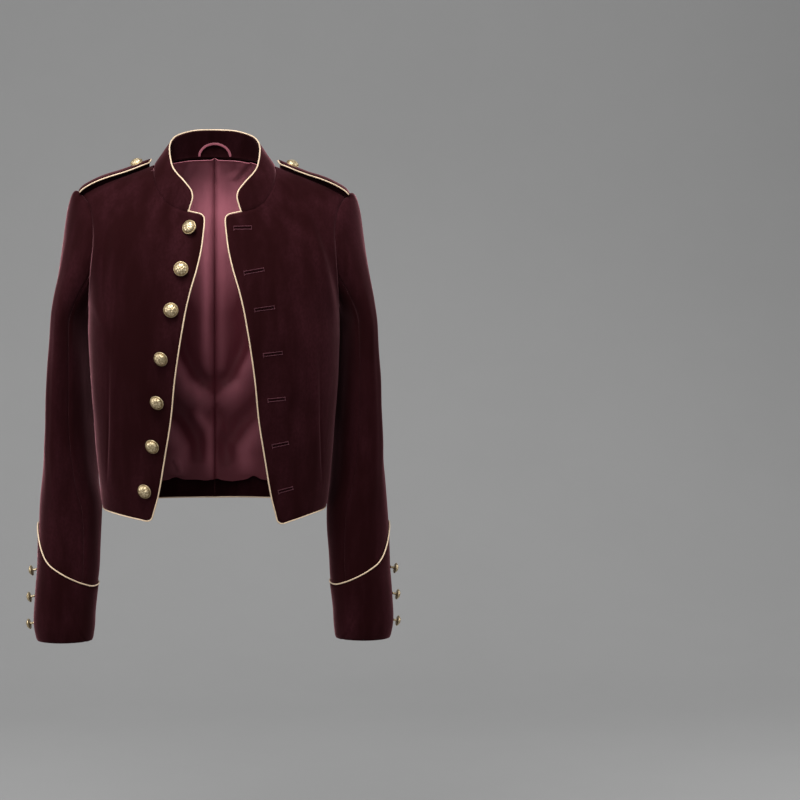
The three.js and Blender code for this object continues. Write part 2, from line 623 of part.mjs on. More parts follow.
function makeBackPiping() {
  const half = (side) => {
    const rows = [samplesOf(sideBackNet(), side), samplesOf(backNet(), side)];
    return rows.map((net) => pipingLine(net[0], net[1], CLOTH));
  };
  const [leftSide, leftBack] = half(1);
  const [rightSide, rightBack] = half(-1);
  const line = [
    ...leftSide.reverse(), ...leftBack.reverse().slice(1),
    ...rightBack.slice(1), ...rightSide.slice(1),
  ];
  line[0].lerp(line[1], SIDE_CLEARANCE);
  line.at(-1).lerp(line.at(-2), SIDE_CLEARANCE);
  add('piping_hem_back', cord(line), GOLD_CORD);
}

// Samples of the neck seam from the front notch to the centre back
function neckSeam(side) {
  const front = NECK_FRONT.slice(1).map((p) => bodySample(side, angleAt(p.x, p.z, 'front'), p.z));
  const back = NECK_BACK.slice(1).map((p) => bodySample(side, angleAt(p.x, p.z, 'back'), p.z));
  return [...front, ...back];
}

// A point of the collar's foot: off the neck seam, in the panel's own surface
function footOf(seam, i, side) {
  const before = seam[Math.max(i - 1, 0)].point;
  const after = seam[Math.min(i + 1, seam.length - 1)].point;
  const along = after.clone().sub(before).normalize();
  const away = seam[i].normal.clone().cross(along).multiplyScalar(side);
  return seam[i].point.clone().addScaledVector(away.normalize(), SEAM_GAP);
}

function collarHalf(side) {
  const seam = neckSeam(side);
  return range(COLLAR_ROWS + 1).map((row) => seam.map((_, i) => {
    const t = row / COLLAR_ROWS;
    const top = vec(COLLAR_TOP[i].x * side, COLLAR_TOP[i].y, COLLAR_TOP[i].z);
    return footOf(seam, i, side).lerp(top, t);
  }));
}

function makeCollar() {
  const [left, right] = [collarHalf(1), collarHalf(-1)];
  const points = left.map((row, i) => [...row.slice(0, -1), ...[...right[i]].reverse()]);
  const seam = [...neckSeam(1).slice(0, -1), ...neckSeam(-1).reverse()];
  const last = points[0].length - 1;
  const rows = points.map((line, row) => line.map((point, i) => {
    const along = line[Math.min(i + 1, last)].clone().sub(line[Math.max(i - 1, 0)]);
    const upper = points[Math.min(row + 1, COLLAR_ROWS)][i];
    const lower = points[Math.max(row - 1, 0)][i];
    const normal = row === 0 ? seam[i].normal : upper.clone().sub(lower).cross(along).normalize();
    return { point, normal };
  }));
  for (const row of rows.slice(1)) {
    const facesIn = row[5].normal.x < 0;      // the fifth sample is on the wearer's left
    if (facesIn) row.forEach((s) => s.normal.negate());
  }
  add('collar', wall(rows, COLLAR_CLOTH), VELVET);
  const end = (i, inner) => rows.slice(1).map((row) => [row[i], row[inner]]);
  const start = pipingLine(...unzip(end(0, 1)), COLLAR_CLOTH);
  const top = pipingLine(rows.at(-1), rows.at(-2), COLLAR_CLOTH);
  const finish = pipingLine(...unzip(end(last, last - 1)), COLLAR_CLOTH).reverse();
  add('piping_collar', cord([...start, ...top, ...finish]), GOLD_CORD);
}

const unzip = (pairs) => [pairs.map((p) => p[0]), pairs.map((p) => p[1])];

// The strap's top surface: it lies along the shoulder line, crowned along its middle
function makeStrap(side, sideName) {
  const point = (row, share) => {
    const crown = STRAP_CROWN * (1 - share * share);
    const height = crestAt(row.x) + STRAP_CLOTH + row.lift - STRAP_CROWN + crown;
    return vec(row.x * side, (share * row.width) / 2, height);
  };
  const points = STRAP.map((row) => STRAP_SHARES.map((share) => point(row, share)));
  const rows = points.map((line, i) => line.map((p, k) => {
    const along = points[Math.min(i + 1, points.length - 1)][k].clone()
      .sub(points[Math.max(i - 1, 0)][k]);
    const wide = line[Math.min(k + 1, 4)].clone().sub(line[Math.max(k - 1, 0)]);
    const normal = along.cross(wide).normalize();
    if (normal.z < 0) normal.negate();
    return { point: p, normal };
  }));
  add(`epaulette_${sideName}`, wall(rows, STRAP_CLOTH), VELVET);
  const border = [
    ...rows.map((row) => [row[0], row[1]]),
    [rows.at(-1)[2], rows.at(-2)[2]],
    ...rows.map((row) => [row[4], row[3]]).reverse(),
  ];
  add(`piping_epaulette_${sideName}`,
    cord(pipingLine(...unzip(border), STRAP_CLOTH, STRAP_PIPING_GAP)), GOLD_CORD);
}

// How far the lining's soft folds stand in at a place
function foldDepth(x, z) {
  return LINING_FOLDS.reduce((sum, fold) => {
    const t = (fold.topZ - z) / (fold.topZ - fold.lowZ);
    if (t <= 0) return sum;
    const middle = lerp(fold.topX, fold.lowX, t);
    return sum + fold.depth * Math.min(2 * t, 1) * Math.exp(-(((x - middle) / fold.width) ** 2));
  }, 0);
}

// The lining of the back lies on the inside of the velvet panels and ends above their hem
function makeLining() {
  const inset = CLOTH + LINING_GAP;
  const layer = (net, side) => {
    const first = net[0].map((low, i) => {
      const t = (LINING_HEM_Z - low[1]) / (net[1][i][1] - low[1]);
      return [lerp(low[0], net[1][i][0], t), LINING_HEM_Z];
    });
    return samplesOf([first, ...net.slice(1)], side).map((row) => row.map((s) => (
      raised(s, -inset - foldDepth(s.point.x, s.point.z)))));
  };
  for (const [side, sideName] of SIDES) {
    const back = drawnIn(layer(backNet(), side));
    add(`lining_back_${sideName}`, wall(back, LINING_CLOTH), SATIN);
    const sideBack = drawnIn(layer(sideBackNet(), side));
    add(`lining_side_${sideName}`, wall(sideBack, LINING_CLOTH), SATIN);
  }
}

// The hanging loop: a flat band that stands in an arch inside the collar
function makeLoop() {
  const arch = steps(LOOP.points, (t) => {
    const turn = Math.PI * t;
    return vec(-LOOP.halfWidth * Math.cos(turn), LOOP.y - LOOP.sweep * Math.abs(Math.cos(turn)),
      LOOP.foot + (LOOP.peak - LOOP.foot) * Math.sin(turn));
  });
  const path = new THREE.CatmullRomCurve3(arch);
  const half = LOOP.cloth / 2;
  const deep = LOOP.band / 2;
  const shape = new THREE.Shape([
    new THREE.Vector2(-half, -deep), new THREE.Vector2(half, -deep),
    new THREE.Vector2(half, deep), new THREE.Vector2(-half, deep),
  ]);
  const options = {
    extrudePath: path, steps: LOOP.steps, curveSegments: 1, bevelEnabled: false,
  };
  add('hanger_loop', new THREE.ExtrudeGeometry(shape, options), SATIN);
}

// A domed button on its shank, turned about its own axis
function buttonGeometry({ diameter, shank }) {
  const profile = BUTTON_PROFILE.map(({ out, up }) => (
    new THREE.Vector2((out * diameter) / 2, up <= 0 ? shank * (1 + up) : shank + (up * diameter) / 2)));
  return new THREE.LatheGeometry(profile, BUTTON_FACETS).rotateX(Math.PI / 2);
}

function makeButton(name, size, sample, gap = SEAM_GAP) {
  const mesh = add(name, buttonGeometry(size), OLD_GOLD);
  mesh.position.copy(moved(sample, gap));
  mesh.quaternion.setFromUnitVectors(vec(0, 0, 1), sample.normal);
}

function makeButtons() {
  FRONT_BUTTONS.forEach((spot, i) => {
    const sample = bodySample(-1, angleAt(spot.x, spot.z, 'front'), spot.z);
    makeButton(`button_front_${i + 1}`, BUTTON.front, sample);
  });
  for (const [side, sideName] of SIDES) {
    const strapAt = columns(STRAP, 'x', ['lift']);
    const x = SHOULDER_BUTTON_X;
    const slope = (crestAt(x + 1) - crestAt(x - 1)) / 2;
    const normal = vec(-slope * side, 0, 1).normalize();
    const point = vec(x * side, 0, crestAt(x) + STRAP_CLOTH + strapAt(x).lift);
    makeButton(`button_shoulder_${sideName}`, BUTTON.shoulder, { point, normal });
    CUFF_BUTTONS.forEach(({ z, gap }, i) => {
      const foot = raised(sleeveSample(side, CUFF_BUTTON_TURN.angle, z), CUFF_GAP + CLOTH);
      const droop = rad(CUFF_BUTTON_TURN.droop);
      const seat = moved(foot, gap);
      const facing = foot.normal.clone().multiplyScalar(Math.cos(droop)).setZ(-Math.sin(droop));
      makeButton(`button_cuff_${sideName}_${i + 1}`, BUTTON.cuff,
        { point: seat, normal: facing.normalize() }, 0);
    });
  }
}

const SIDES = [[1, 'left'], [-1, 'right']];
for (const [side, sideName] of SIDES) {
  makeFront(side, sideName);
  makeBack(side, sideName);
  makeSleeve(side, sideName);
  makeCuff(side, sideName);
  makeStrap(side, sideName);
}
makeBackPiping();
makeCollar();
makeLining();
makeLoop();
makeButtons();

export default jacket;
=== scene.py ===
"""A cropped velvet jacket, laid out as an add-on and run as a script.

Sizes in the tables are millimetres, in the frame of the CAD model: X to the wearer's left, Y to
the back, Z up. A body angle is 0 at the centre front, 90 at the side and 180 at the centre back.
A sleeve angle is 0 at its front, 90 at its outer side, 180 at its back and -90 inside.
"""

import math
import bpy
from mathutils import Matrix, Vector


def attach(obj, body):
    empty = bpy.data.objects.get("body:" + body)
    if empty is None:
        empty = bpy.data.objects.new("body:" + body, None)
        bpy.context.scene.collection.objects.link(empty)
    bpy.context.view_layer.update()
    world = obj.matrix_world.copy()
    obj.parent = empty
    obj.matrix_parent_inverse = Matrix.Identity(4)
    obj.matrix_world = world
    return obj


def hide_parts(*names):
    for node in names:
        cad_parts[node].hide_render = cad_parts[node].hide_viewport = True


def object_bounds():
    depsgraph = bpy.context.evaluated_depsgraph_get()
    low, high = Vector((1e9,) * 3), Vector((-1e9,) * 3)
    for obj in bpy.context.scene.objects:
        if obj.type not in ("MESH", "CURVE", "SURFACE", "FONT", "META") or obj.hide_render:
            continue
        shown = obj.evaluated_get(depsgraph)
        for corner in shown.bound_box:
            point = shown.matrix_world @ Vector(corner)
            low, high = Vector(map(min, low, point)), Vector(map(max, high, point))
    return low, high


bl_info = {
    "name": "Velvet Jacket",
    "version": (1, 0, 0),
    "blender": (4, 5, 0),
    "location": "View3D > Sidebar > Jacket",
    "description": "Builds a cropped velvet jacket with piping, straps and metal buttons",
    "category": "Object",
}

from bisect import bisect_right

import bmesh
import bpy
from mathutils import Matrix, Vector, noise

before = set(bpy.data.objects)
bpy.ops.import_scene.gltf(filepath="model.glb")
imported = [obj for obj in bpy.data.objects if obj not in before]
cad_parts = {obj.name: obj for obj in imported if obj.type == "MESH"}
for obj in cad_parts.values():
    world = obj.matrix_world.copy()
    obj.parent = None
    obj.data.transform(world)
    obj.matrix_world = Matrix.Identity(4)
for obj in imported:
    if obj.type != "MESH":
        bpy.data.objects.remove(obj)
CAD_BOX = [list(corner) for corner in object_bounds()]

MM = 0.001
SIDES = ((1, "left"), (-1, "right"))

# ------------------------------------------------------------------ the jacket's tables

# Height, half width, middle, and how far the front and back stand from the middle
BODY = (
    (-479, 153.5, -12, 96, 94), (-460, 157, -12, 97, 94.5), (-440, 158.5, -12, 98, 95),
    (-390, 163, -13, 101, 98), (-340, 166.5, -14, 104, 102), (-290, 170, -15, 107, 106),
    (-235, 172, -15, 109, 109), (-195, 171.5, -14, 107, 109), (-150, 176, -11, 102, 106),
    (-105, 184, -6, 93, 98), (-66, 194, -2, 81, 91), (-39, 200, 0, 76, 88), (30, 204, 0, 72, 88),
)
SHOULDER_ROUND = {"front": 110, "back": 90}
BODY_BEND = {"front": 2.6, "back": 2.2}

# Height of the shoulder line across the body: x, z
CREST = (
    (0, 30), (45, 19), (83, -2), (105, -9), (130, -17.5), (155, -26.5), (180, -37), (190, -42),
)
# The front edge: z, x
FRONT_EDGE = (
    (-479, 87), (-440, 77), (-390, 68.5), (-340, 60.5), (-285, 55), (-230, 47), (-180, 37.8),
    (-140, 26.5), (-110, 19.5), (-67, 14.5),
)
HEM_CORNER = (87, -479)
# The left front's hem corner: how far it drops, below which z, over what height, x, width
LEFT_CORNER_DROP, DROP_Z, DROP_HEIGHT, DROP_X, DROP_WIDTH = 4.5, -400, 79, 88, 34
# The hem round the body: angle, z
HEM = (
    (0, -479), (31, -477), (38, -475), (51, -472), (62, -470.5), (75, -470), (91, -470),
    (130, -473), (180, -475),
)
# The neck seam: x, z
NECK_FRONT = (
    (15.5, -66.5), (37, -62), (53, -57), (66, -49), (76.5, -34), (81.5, -20), (83, -9.5),
    (83.3, -5), (83, -2),
)
NECK_BACK = ((83, -2), (76, 1.5), (57, 6), (30, 9.3), (0, 10))
# The armhole from the shoulder tip to the underarm: angle, z
ARMHOLE_FRONT = (
    (64.6, -39.3), (60.9, -43), (56.8, -52), (55.1, -66), (56, -85), (59.8, -107), (65, -130),
    (71.3, -152), (78.2, -172), (86, -188), (94, -195),
)
ARMHOLE_BACK = (
    (113.4, -39.3), (115.8, -43), (116.1, -54), (115.4, -72), (114.5, -94), (113.8, -120),
    (111.6, -148), (109.5, -163), (106, -177), (100.5, -189), (94, -195),
)
PRINCESS_ROW = 6
# The princess seam of the back: z, x
PRINCESS_SEAM = (
    (-475, 104), (-436, 104), (-353, 104), (-317, 104.5), (-281, 109), (-255, 115),
    (-237, 122), (-205, 134), (-180, 147), (-148, 165),
)
SIDE_ROWS, CHEST_ROW, CHEST_Z, BLADE_Z = 10, 13, -143, -130
SHOULDER_COLUMNS, SHOULDER_TIP_X, SIDE_SEAM_ANGLE = 5, 185, 91
FRONT_HOLD, SHOULDER_CROWDING = 4, 1.9

# Sleeve sections: height, centre x and y, half thickness, half depth, turn
SLEEVE = (
    (-215, 194.3, 12, 23, 64, 15), (-300, 197, 15, 27.5, 62, 17), (-390, 199.5, 14, 33, 58, 17),
    (-440, 200.5, 12, 37.5, 54, 12), (-480, 199.8, 9, 43, 50, 6), (-560, 203, 4, 42, 45, 0),
    (-620, 208.8, 1, 41, 42, 0), (-642, 209.6, 0, 40.4, 41, 0), (-664, 209, 0, 37, 38, 0),
)
SLEEVE_TOP, SLEEVE_END = -215, -652
RING, UNDER_COLUMN, FRONT_SEAM, BACK_SEAM = 20, 10, 7, 16
RING_ANGLES = ((0, 90), (7, -33), (10, -90), (16, -207), (20, -270))
CAP_TIP, CAP_UNDER = (40, 34), (-70, 10)
CAP_EASE, CAP_REACH, CAP_SPREAD = 0.7, 1.1, 0.15
SWELL_HEIGHT, SWELL_TILT, SWELL_PEAK, SWELL_NARROW = 7.4, 40, 0.75, 3
# The cuff's top edge round the sleeve: angle, z
CUFF_TOP = (
    (-207, -569), (-180, -576), (-150, -581), (-120, -584), (-60, -585), (-30, -578.5),
    (0, -568), (20, -559.5), (36, -552), (48, -543), (60, -530), (75, -512), (92, -501),
    (106, -511), (120, -530), (132, -546), (145, -557), (153, -565),
)
CUFF_Z, VENT_SLOT, CUFF_GAP = -664, 4.8, 0.45
CUFF_LIFT = CUFF_GAP + 1.6     # of the cuff's outside off the sleeve's
CUFF_SEAM = 141               # from the vent round the back of the cuff to its front seam

# The collar's free edge, above each point of the neck seam
COLLAR_TOP = (
    (29.5, -73, -38), (43, -66, -22), (52, -56, -13), (58.5, -44, -4), (61.5, -32, 6),
    (63, -20, 14), (63.5, -10, 19), (63.5, 1, 23), (61.5, 19, 29.5), (52, 35, 37),
    (29, 47, 43.5), (0, 51, 45),
)
COLLAR_CLOTH, COLLAR_SEAM = 2.4, (0, 0.7, 1.8)
# How deep the collar's foot and the rows turned in at a seam lie in the cloth
COLLAR_FOOT, COLLAR_TURNED_IN, SLEEVE_TURNED_IN = 0.9, 3.2, 2.7

# The shoulder strap: x, width, lift off the shoulder line
STRAP = (
    (184.3, 40, 0.5), (178.5, 39.7, 3.6), (165, 39, 5.7), (145, 37.5, 6), (125, 36, 5.2),
    (108, 34, 5.7), (98, 29, 6.8), (91.5, 20, 7.6), (88.5, 11, 8),
)
STRAP_CLOTH, STRAP_CROWN = 3, 3
# The folded cloth under a strap: its first place in STRAP and the step to the next, steps,
# share of the strap's width on each side, and distance from the shoulder and from the strap
PAD_START, PAD_STEP, PAD_STEPS = 0.25, 1.265, 6
PAD_WIDTH, PAD_BELOW, PAD_ABOVE = 0.41, 0.25, 0.3

FRONT_BUTTONS = (
    (32, -84), (44, -137.5), (57, -191), (69.5, -254.5), (75, -313.5), (81.5, -373.5),
    (92, -436),
)
# How far each front button turns: towards the side, and down
FRONT_BUTTON_TURNS = ((24, 0), (6, 4), (5, 3), (18, 16), (18, 16), (16, 14), (14, 8))
BUTTON_SIZES = {"front": (20, 3.2), "shoulder": (17.5, 0.9), "cuff": (15, 7)}
FRONT_BUTTON_SEAT = 0.3
SHOULDER_BUTTON_X, SHOULDER_BUTTON_TILT, SHOULDER_BUTTON_SEAT = 106, 0.5, 0.1
CUFF_BUTTON_ANGLE, CUFF_BUTTON_DROOP = 100, 15
CUFF_BUTTONS = ((-566, 0.75), (-603.5, 0.6), (-641, -0.3))

# Buttonholes of the left front: from x, z to x, z
BUTTONHOLES = (
    ((25.6, -83), (50.2, -82.5)), ((38.9, -142), (66.4, -137)), ((53, -190.5), (80.5, -187)),
    ((64.8, -250.5), (91.3, -248)), ((71.1, -312), (95.2, -310)), ((77.3, -375), (100, -371)),
    ((86, -438.5), (106.7, -434)),
)

LINING_HEM_Z, LINING_GAP = -450, 0.5
# Folds of the lining: line of x and z, width, how far they stand in
LINING_FOLDS = (
    (((-11, 6), (-11, -170), (-10, -330)), 7, 2.8), (((10, 6), (10, -170), (9, -330)), 7, 2.0),
    (((-52, -70), (-48, -180), (-42, -290)), 13, -2.2),
    (((46, -70), (43, -180), (38, -285)), 12, -2.2),
    (((-66, -170), (-52, -250), (-30, -300), (0, -318), (26, -300), (46, -250), (60, -170)),
     11, -4.6),
    (((-14, -60), (-14, -150), (-15, -290)), 6, 2.0),
    (((-70, -240), (-55, -277), (-35, -314), (-1, -346)), 15, 5.2),
    (((70, -238), (50, -277), (30, -314), (5, -343)), 15, 4.8),
    (((-74, -328), (-61, -345), (-41, -364), (-24, -395), (-24, -428)), 10, -3.8),
    (((72, -326), (59, -346), (36, -369), (16, -398), (19, -430)), 10, -3.8),
    (((-76, -362), (-60, -382), (-47, -404), (-52, -444)), 13, 3.4),
    (((76, -362), (62, -380), (42, -407), (46, -444)), 13, 2.6),
    (((-30, -350), (-8, -378), (-6, -448)), 8, 2.6), (((3, -352), (14, -366), (18, -380)), 3, -2),
    (((-39, 8), (-46, -12), (-41, -38)), 3, -2.2), (((-33, 8), (-38, -14), (-33, -44)), 3, 1.8),
    (((56, 8), (42, -8), (28, -26)), 3, -2.0), (((50, 10), (36, -6), (24, -20)), 3, 1.5),
    (((33, 10), (24, -12)), 2.6, -1.4), (((-62, -2), (-50, -14)), 3, 1.4),
    (((-60, -420), (-52, -438)), 2.2, -1.4), (((-50, -418), (-46, -440)), 2.2, 1.2),
)
LINING_STAND = 4.4
LINING_PLEAT, LINING_PLEAT_DEPTH = 1.5, 3.6     # the pleat's groove at the centre back
LINING_FADE, RUMPLE, RUMPLE_SIZE = 0.2, 0.5, 14
# Painted shade of the lining: below which z it darkens, over what height, least and added
# shade, and the fold that takes one whole shade away
SHADE_Z, SHADE_HEIGHT, SHADE_LEAST, SHADE_LOW, SHADE_FOLD = -50, 160, 0.04, 0.92, 8
# The lining's low edge: x, width, how far it lies higher
LINING_EDGE = ((-57, 8, 4), (57, 8, 5.5), (24, 15, -2.8), (-14, 9, -1.6), (4, 3, 1.6))

# The hanging loop: half width, height of its feet and peak, y, how far its feet lie forward
LOOP_HALF, LOOP_FOOT, LOOP_PEAK, LOOP_Y, LOOP_SWEEP = 21.5, 9, 27, 48.4, 3.2
# Steps along the loop, half width and half thickness of its band, and the painted shade on its
# satin
LOOP_STEPS, LOOP_BAND, LOOP_SHADE = 40, (1.7, 0.8), 0.55


# ------------------------------------------------------------------ sizes and colours to change

def length(name, description, default):
    return bpy.props.FloatProperty(
        name=name, description=description, default=default, min=0, unit="LENGTH",
        subtype="DISTANCE", precision=4)


def power(name, description, default):
    return bpy.props.FloatProperty(
        name=name, description=description, default=default, min=0, unit="POWER")


def colour(name, description, default):
    return bpy.props.FloatVectorProperty(
        name=name, description=description, default=default, size=3, min=0, max=1,
        subtype="COLOR")


class JacketSizes(bpy.types.PropertyGroup):
    """Sizes of the jacket's cloth, cords and seams"""

    velvet: length("Velvet", "Thickness of the velvet with its interlining", 0.0016)
    lining: length("Lining", "Thickness of the lining", 0.0009)
    piping: length("Piping radius", "Radius of the corded piping", 0.00096)
    grid: bpy.props.IntProperty(
        name="Fineness", description="Grid cells in each step of the panels' tables",
        default=6, min=1, max=12)


class JacketColours(bpy.types.PropertyGroup):
    """Colours of the jacket's cloths, cords and metal"""

    velvet: colour("Velvet", "Colour of the velvet's pile", (0.0132, 0.0031, 0.0036))
    # Lighter velvet where the pile lies over, which also stands in as painted sheen
    velvet_nap_and_sheen: colour("Velvet, brushed", "Velvet where its pile lies over",
                         (0.029, 0.0074, 0.0100))
    velvet_sheen: colour("Velvet sheen", "Tint of the velvet's sheen", (0.80, 0.34, 0.39))
    satin: colour("Lining", "Colour of the satin lining", (0.42, 0.135, 0.175))
    # Satin in painted shade, low down and in the folds; its random darker patches take it too
    satin_shade_and_patches: colour("Lining, folds", "Satin in its folds", (0.072, 0.0135, 0.0195))
    cord: colour("Piping", "Colour of the piping", (0.70, 0.52, 0.35))
    thread: colour("Thread", "Colour of the buttonholes' thread", (0.125, 0.036, 0.050))
    brass: colour("Buttons", "Colour of the buttons' metal", (0.86, 0.72, 0.47))
    brass_dark: colour("Buttons, hollows", "Tarnish in the hollows", (0.20, 0.135, 0.06))


class JacketStage(bpy.types.PropertyGroup):
    """Floor and light round the jacket"""

    floor: colour("Backdrop", "Colour of the floor and backdrop", (0.355, 0.355, 0.355))
    floor_drop: length("Floor below", "How far the floor lies below the jacket", 0.55)
    key_power: power("Key light", "Power of the front light", 26)
    opening_power: power("Opening light", "Power of the light into the neck opening", 18)
    back_power: power("Back light", "Power of the light behind the jacket", 6)
    side_power: power("Side lights", "Power of each side light", 30)


# ------------------------------------------------------------------ curves through tables

rad = math.radians


def mix(a, b, t):
    return a + (b - a) * t


def mix_pair(a, b, t):
    return (mix(a[0], b[0], t), mix(a[1], b[1], t))


def clamp(value, low=0.0, high=1.0):
    return min(max(value, low), high)


def hermite(t, start, end, rise, fall):
    rest = 1 - t
    return (start * rest * rest * (1 + 2 * t) + end * t * t * (3 - 2 * t)
            + rise * t * rest * rest - fall * t * t * rest)


def through(pairs):
    """A smooth curve through pairs: gives the second number at any value of the first."""
    pairs = sorted(pairs)
    at = [p[0] for p in pairs]
    to = [p[1] for p in pairs]
    last = len(pairs) - 1
    slopes = [
        (to[min(i + 1, last)] - to[max(i - 1, 0)]) / (at[min(i + 1, last)] - at[max(i - 1, 0)])
        for i in range(last + 1)
    ]

    def curve(value):
        i = min(max(bisect_right(at, value) - 1, 0), last - 1)
        step = at[i + 1] - at[i]
        t = clamp((value - at[i]) / step)
        return hermite(t, to[i], to[i + 1], slopes[i] * step, slopes[i + 1] * step)

    return curve


def columns(rows):
    """A curve for each column of a table, along its first one."""
    return [through([(row[0], row[k]) for row in rows]) for k in range(1, len(rows[0]))]


def run(points, corners=()):
    """A smooth line through points, by their number, with a corner at each of `corners`."""
    last = len(points) - 1
    stops = sorted({0, last, *corners})

    def slope(i, low, high):
        before, after = max(i - 1, low), min(i + 1, high)
        return [(b - a) / (after - before) for a, b in zip(points[before], points[after])]

    def line(i):
        i = clamp(i, 0, last)
        k = min(int(i), last - 1)
        low = max(s for s in stops if s <= k)
        high = min(s for s in stops if s > k)
        ends = zip(points[k], points[k + 1], slope(k, low, high), slope(k + 1, low, high))
        return tuple(hermite(i - k, a, b, rise, fall) for a, b, rise, fall in ends)

    return line


half_at, middle_at, front_at, back_at = columns(BODY)
crest_at = through(CREST)
front_edge_at = through(FRONT_EDGE)
princess_at = through(PRINCESS_SEAM)
hem_at = through(HEM)
cuff_top_at = through(CUFF_TOP)
sleeve_curves = columns(SLEEVE)
ring_angle = through(RING_ANGLES)


# ------------------------------------------------------------------ the body's surface

def body_point(angle, z):
    """The body's outer surface at an angle and height, on the wearer's left."""
    part = "front" if angle <= 90 else "back"
    stand_at = front_at if part == "front" else back_at
    power = 2 / BODY_BEND[part]
    x = half_at(z) * max(math.sin(rad(angle)), 0) ** power
    stand = stand_at(z) * abs(math.cos(rad(angle))) ** power
    drop = clamp((crest_at(x) - z) / SHOULDER_ROUND[part])
    fullness = math.sqrt(1 - (1 - drop) ** 2)
    return Vector((x, fullness * (middle_at(z) + (-stand if part == "front" else stand)), z))


def angle_at(x, z, part):
    share = clamp(abs(x) / half_at(z))
    angle = math.degrees(math.asin(share ** (BODY_BEND[part] / 2)))
    return angle if part == "front" else 180 - angle


def body_sample(side, angle, z):
    """A point of the body and its outward direction."""
    lower = max(angle - 0.4, 0.01 if angle <= 90 else 90.01)
    upper = min(angle + 0.4, 89.99 if angle <= 90 else 179.99)
    around = body_point(upper, z) - body_point(lower, z)
    point = body_point(angle, z)
    rise = body_point(angle, z + 0.6) - body_point(angle, z - 0.6)
    normal = around.cross(rise).normalized()
    if crest_at(point.x) - z < 0.05:
        normal = Vector((normal.x, 0, normal.z)).normalized()
    if angle >= 179.99:
        normal = Vector((0, normal.y, normal.z)).normalized()
    return mirrored(point, side), mirrored(normal, side)


def mirrored(v, side):
    return Vector((v.x * side, v.y, v.z))


def crowded(share):
    return 1 - (1 - share) ** SHOULDER_CROWDING


def hem_pair(angle):
    return (angle, hem_at(angle))


def shoulder_line(part):
    points = []
    for i in range(SHOULDER_COLUMNS + 1):
        x = mix(NECK_BACK[0][0], SHOULDER_TIP_X, i / SHOULDER_COLUMNS)
        points.append((angle_at(x, crest_at(x), part), crest_at(x)))
    return points


UNDERARM = ARMHOLE_FRONT[-1]
SIDE_SEAM = [mix_pair(hem_pair(SIDE_SEAM_ANGLE), UNDERARM, i / SIDE_ROWS)
             for i in range(SIDE_ROWS + 1)]
front_armhole = run(ARMHOLE_FRONT)
back_armhole = run(ARMHOLE_BACK)
PRINCESS_TOP = ARMHOLE_BACK[PRINCESS_ROW]
PRINCESS_HEM = hem_pair(angle_at(PRINCESS_SEAM[0][1], PRINCESS_SEAM[0][0], "back"))


def princess_line(row):
    z = mix(PRINCESS_HEM[1], PRINCESS_TOP[1], row / SIDE_ROWS)
    angle = angle_at(princess_at(z), z, "back")
    end = angle_at(princess_at(PRINCESS_TOP[1]), PRINCESS_TOP[1], "back")
    near = clamp(row - SIDE_ROWS + 1)
    return (angle + near * (PRINCESS_TOP[0] - end), z)


class Net:
    """A panel between four border lines, by column and row numbers of the tables."""

    def __init__(self, bottom, top, left, right, size, middle, hold=1):
        self.bottom, self.top, self.left, self.right = bottom, top, left, right
        self.columns, self.rows = size
        self.middle, self.hold = middle, hold

    def upright(self, column, row):
        middle = mix_pair(self.left(self.middle), self.right(self.middle),
                          column / self.columns)
        if row <= self.middle:
            return mix_pair(self.bottom(column), middle, row / self.middle)
        share = (row - self.middle) / (self.rows - self.middle)
        return mix_pair(middle, self.top(column), crowded(share))

    def __call__(self, column, row):
        share = column / self.columns
        near_left, near_right = (1 - share) ** self.hold, share ** self.hold
        start, finish = self.upright(0, row), self.upright(self.columns, row)
        left, right = self.left(row), self.right(row)
        return tuple(
            value + near_left * (left[k] - start[k]) + near_right * (right[k] - finish[k])
            for k, value in enumerate(self.upright(column, row)))


def front_net():
    neck = [(angle_at(x, z, "front"), z) for x, z in NECK_FRONT[:-1]]
    top = neck + shoulder_line("front")
    top[-1] = ARMHOLE_FRONT[0]
    cols, rows = len(top) - 1, SIDE_ROWS + len(ARMHOLE_FRONT) - 1
    corner = angle_at(*HEM_CORNER, "front")
    bottom = [hem_pair(mix(corner, SIDE_SEAM_ANGLE, i / cols)) for i in range(cols + 1)]
    bottom[0] = (corner, HEM_CORNER[1])
    left = []
    for row in range(rows + 1):
        z = (mix(HEM_CORNER[1], CHEST_Z, row / CHEST_ROW) if row <= CHEST_ROW
             else mix(CHEST_Z, NECK_FRONT[0][1], (row - CHEST_ROW) / (rows - CHEST_ROW)))
        left.append((angle_at(front_edge_at(z), z, "front"), z))
    left[0], left[-1] = bottom[0], top[0]
    side = run(SIDE_SEAM)

    def right(row):
        return side(row) if row <= SIDE_ROWS else front_armhole(rows - row)

    return Net(run(bottom), run(top, [len(neck)]), run(left), right, (cols, rows), CHEST_ROW,
               FRONT_HOLD)


def back_net():
    neck = [(angle_at(x, z, "back"), z) for x, z in reversed(NECK_BACK[1:])]
    top = neck + shoulder_line("back")
    top[-1] = ARMHOLE_BACK[0]
    cols, rows = len(top) - 1, SIDE_ROWS + PRINCESS_ROW
    bottom = [hem_pair(mix(180, PRINCESS_HEM[0], i / cols)) for i in range(cols + 1)]
    end_z = top[0][1]

    def left(row):
        if row <= SIDE_ROWS:
            return (180, mix(hem_at(180), BLADE_Z, row / SIDE_ROWS))
        return (180, mix(BLADE_Z, end_z, crowded((row - SIDE_ROWS) / (rows - SIDE_ROWS))))

    def right(row):
        return princess_line(row) if row <= SIDE_ROWS else back_armhole(rows - row)

    return Net(run(bottom), run(top, [len(neck)]), left, right, (cols, rows), SIDE_ROWS)


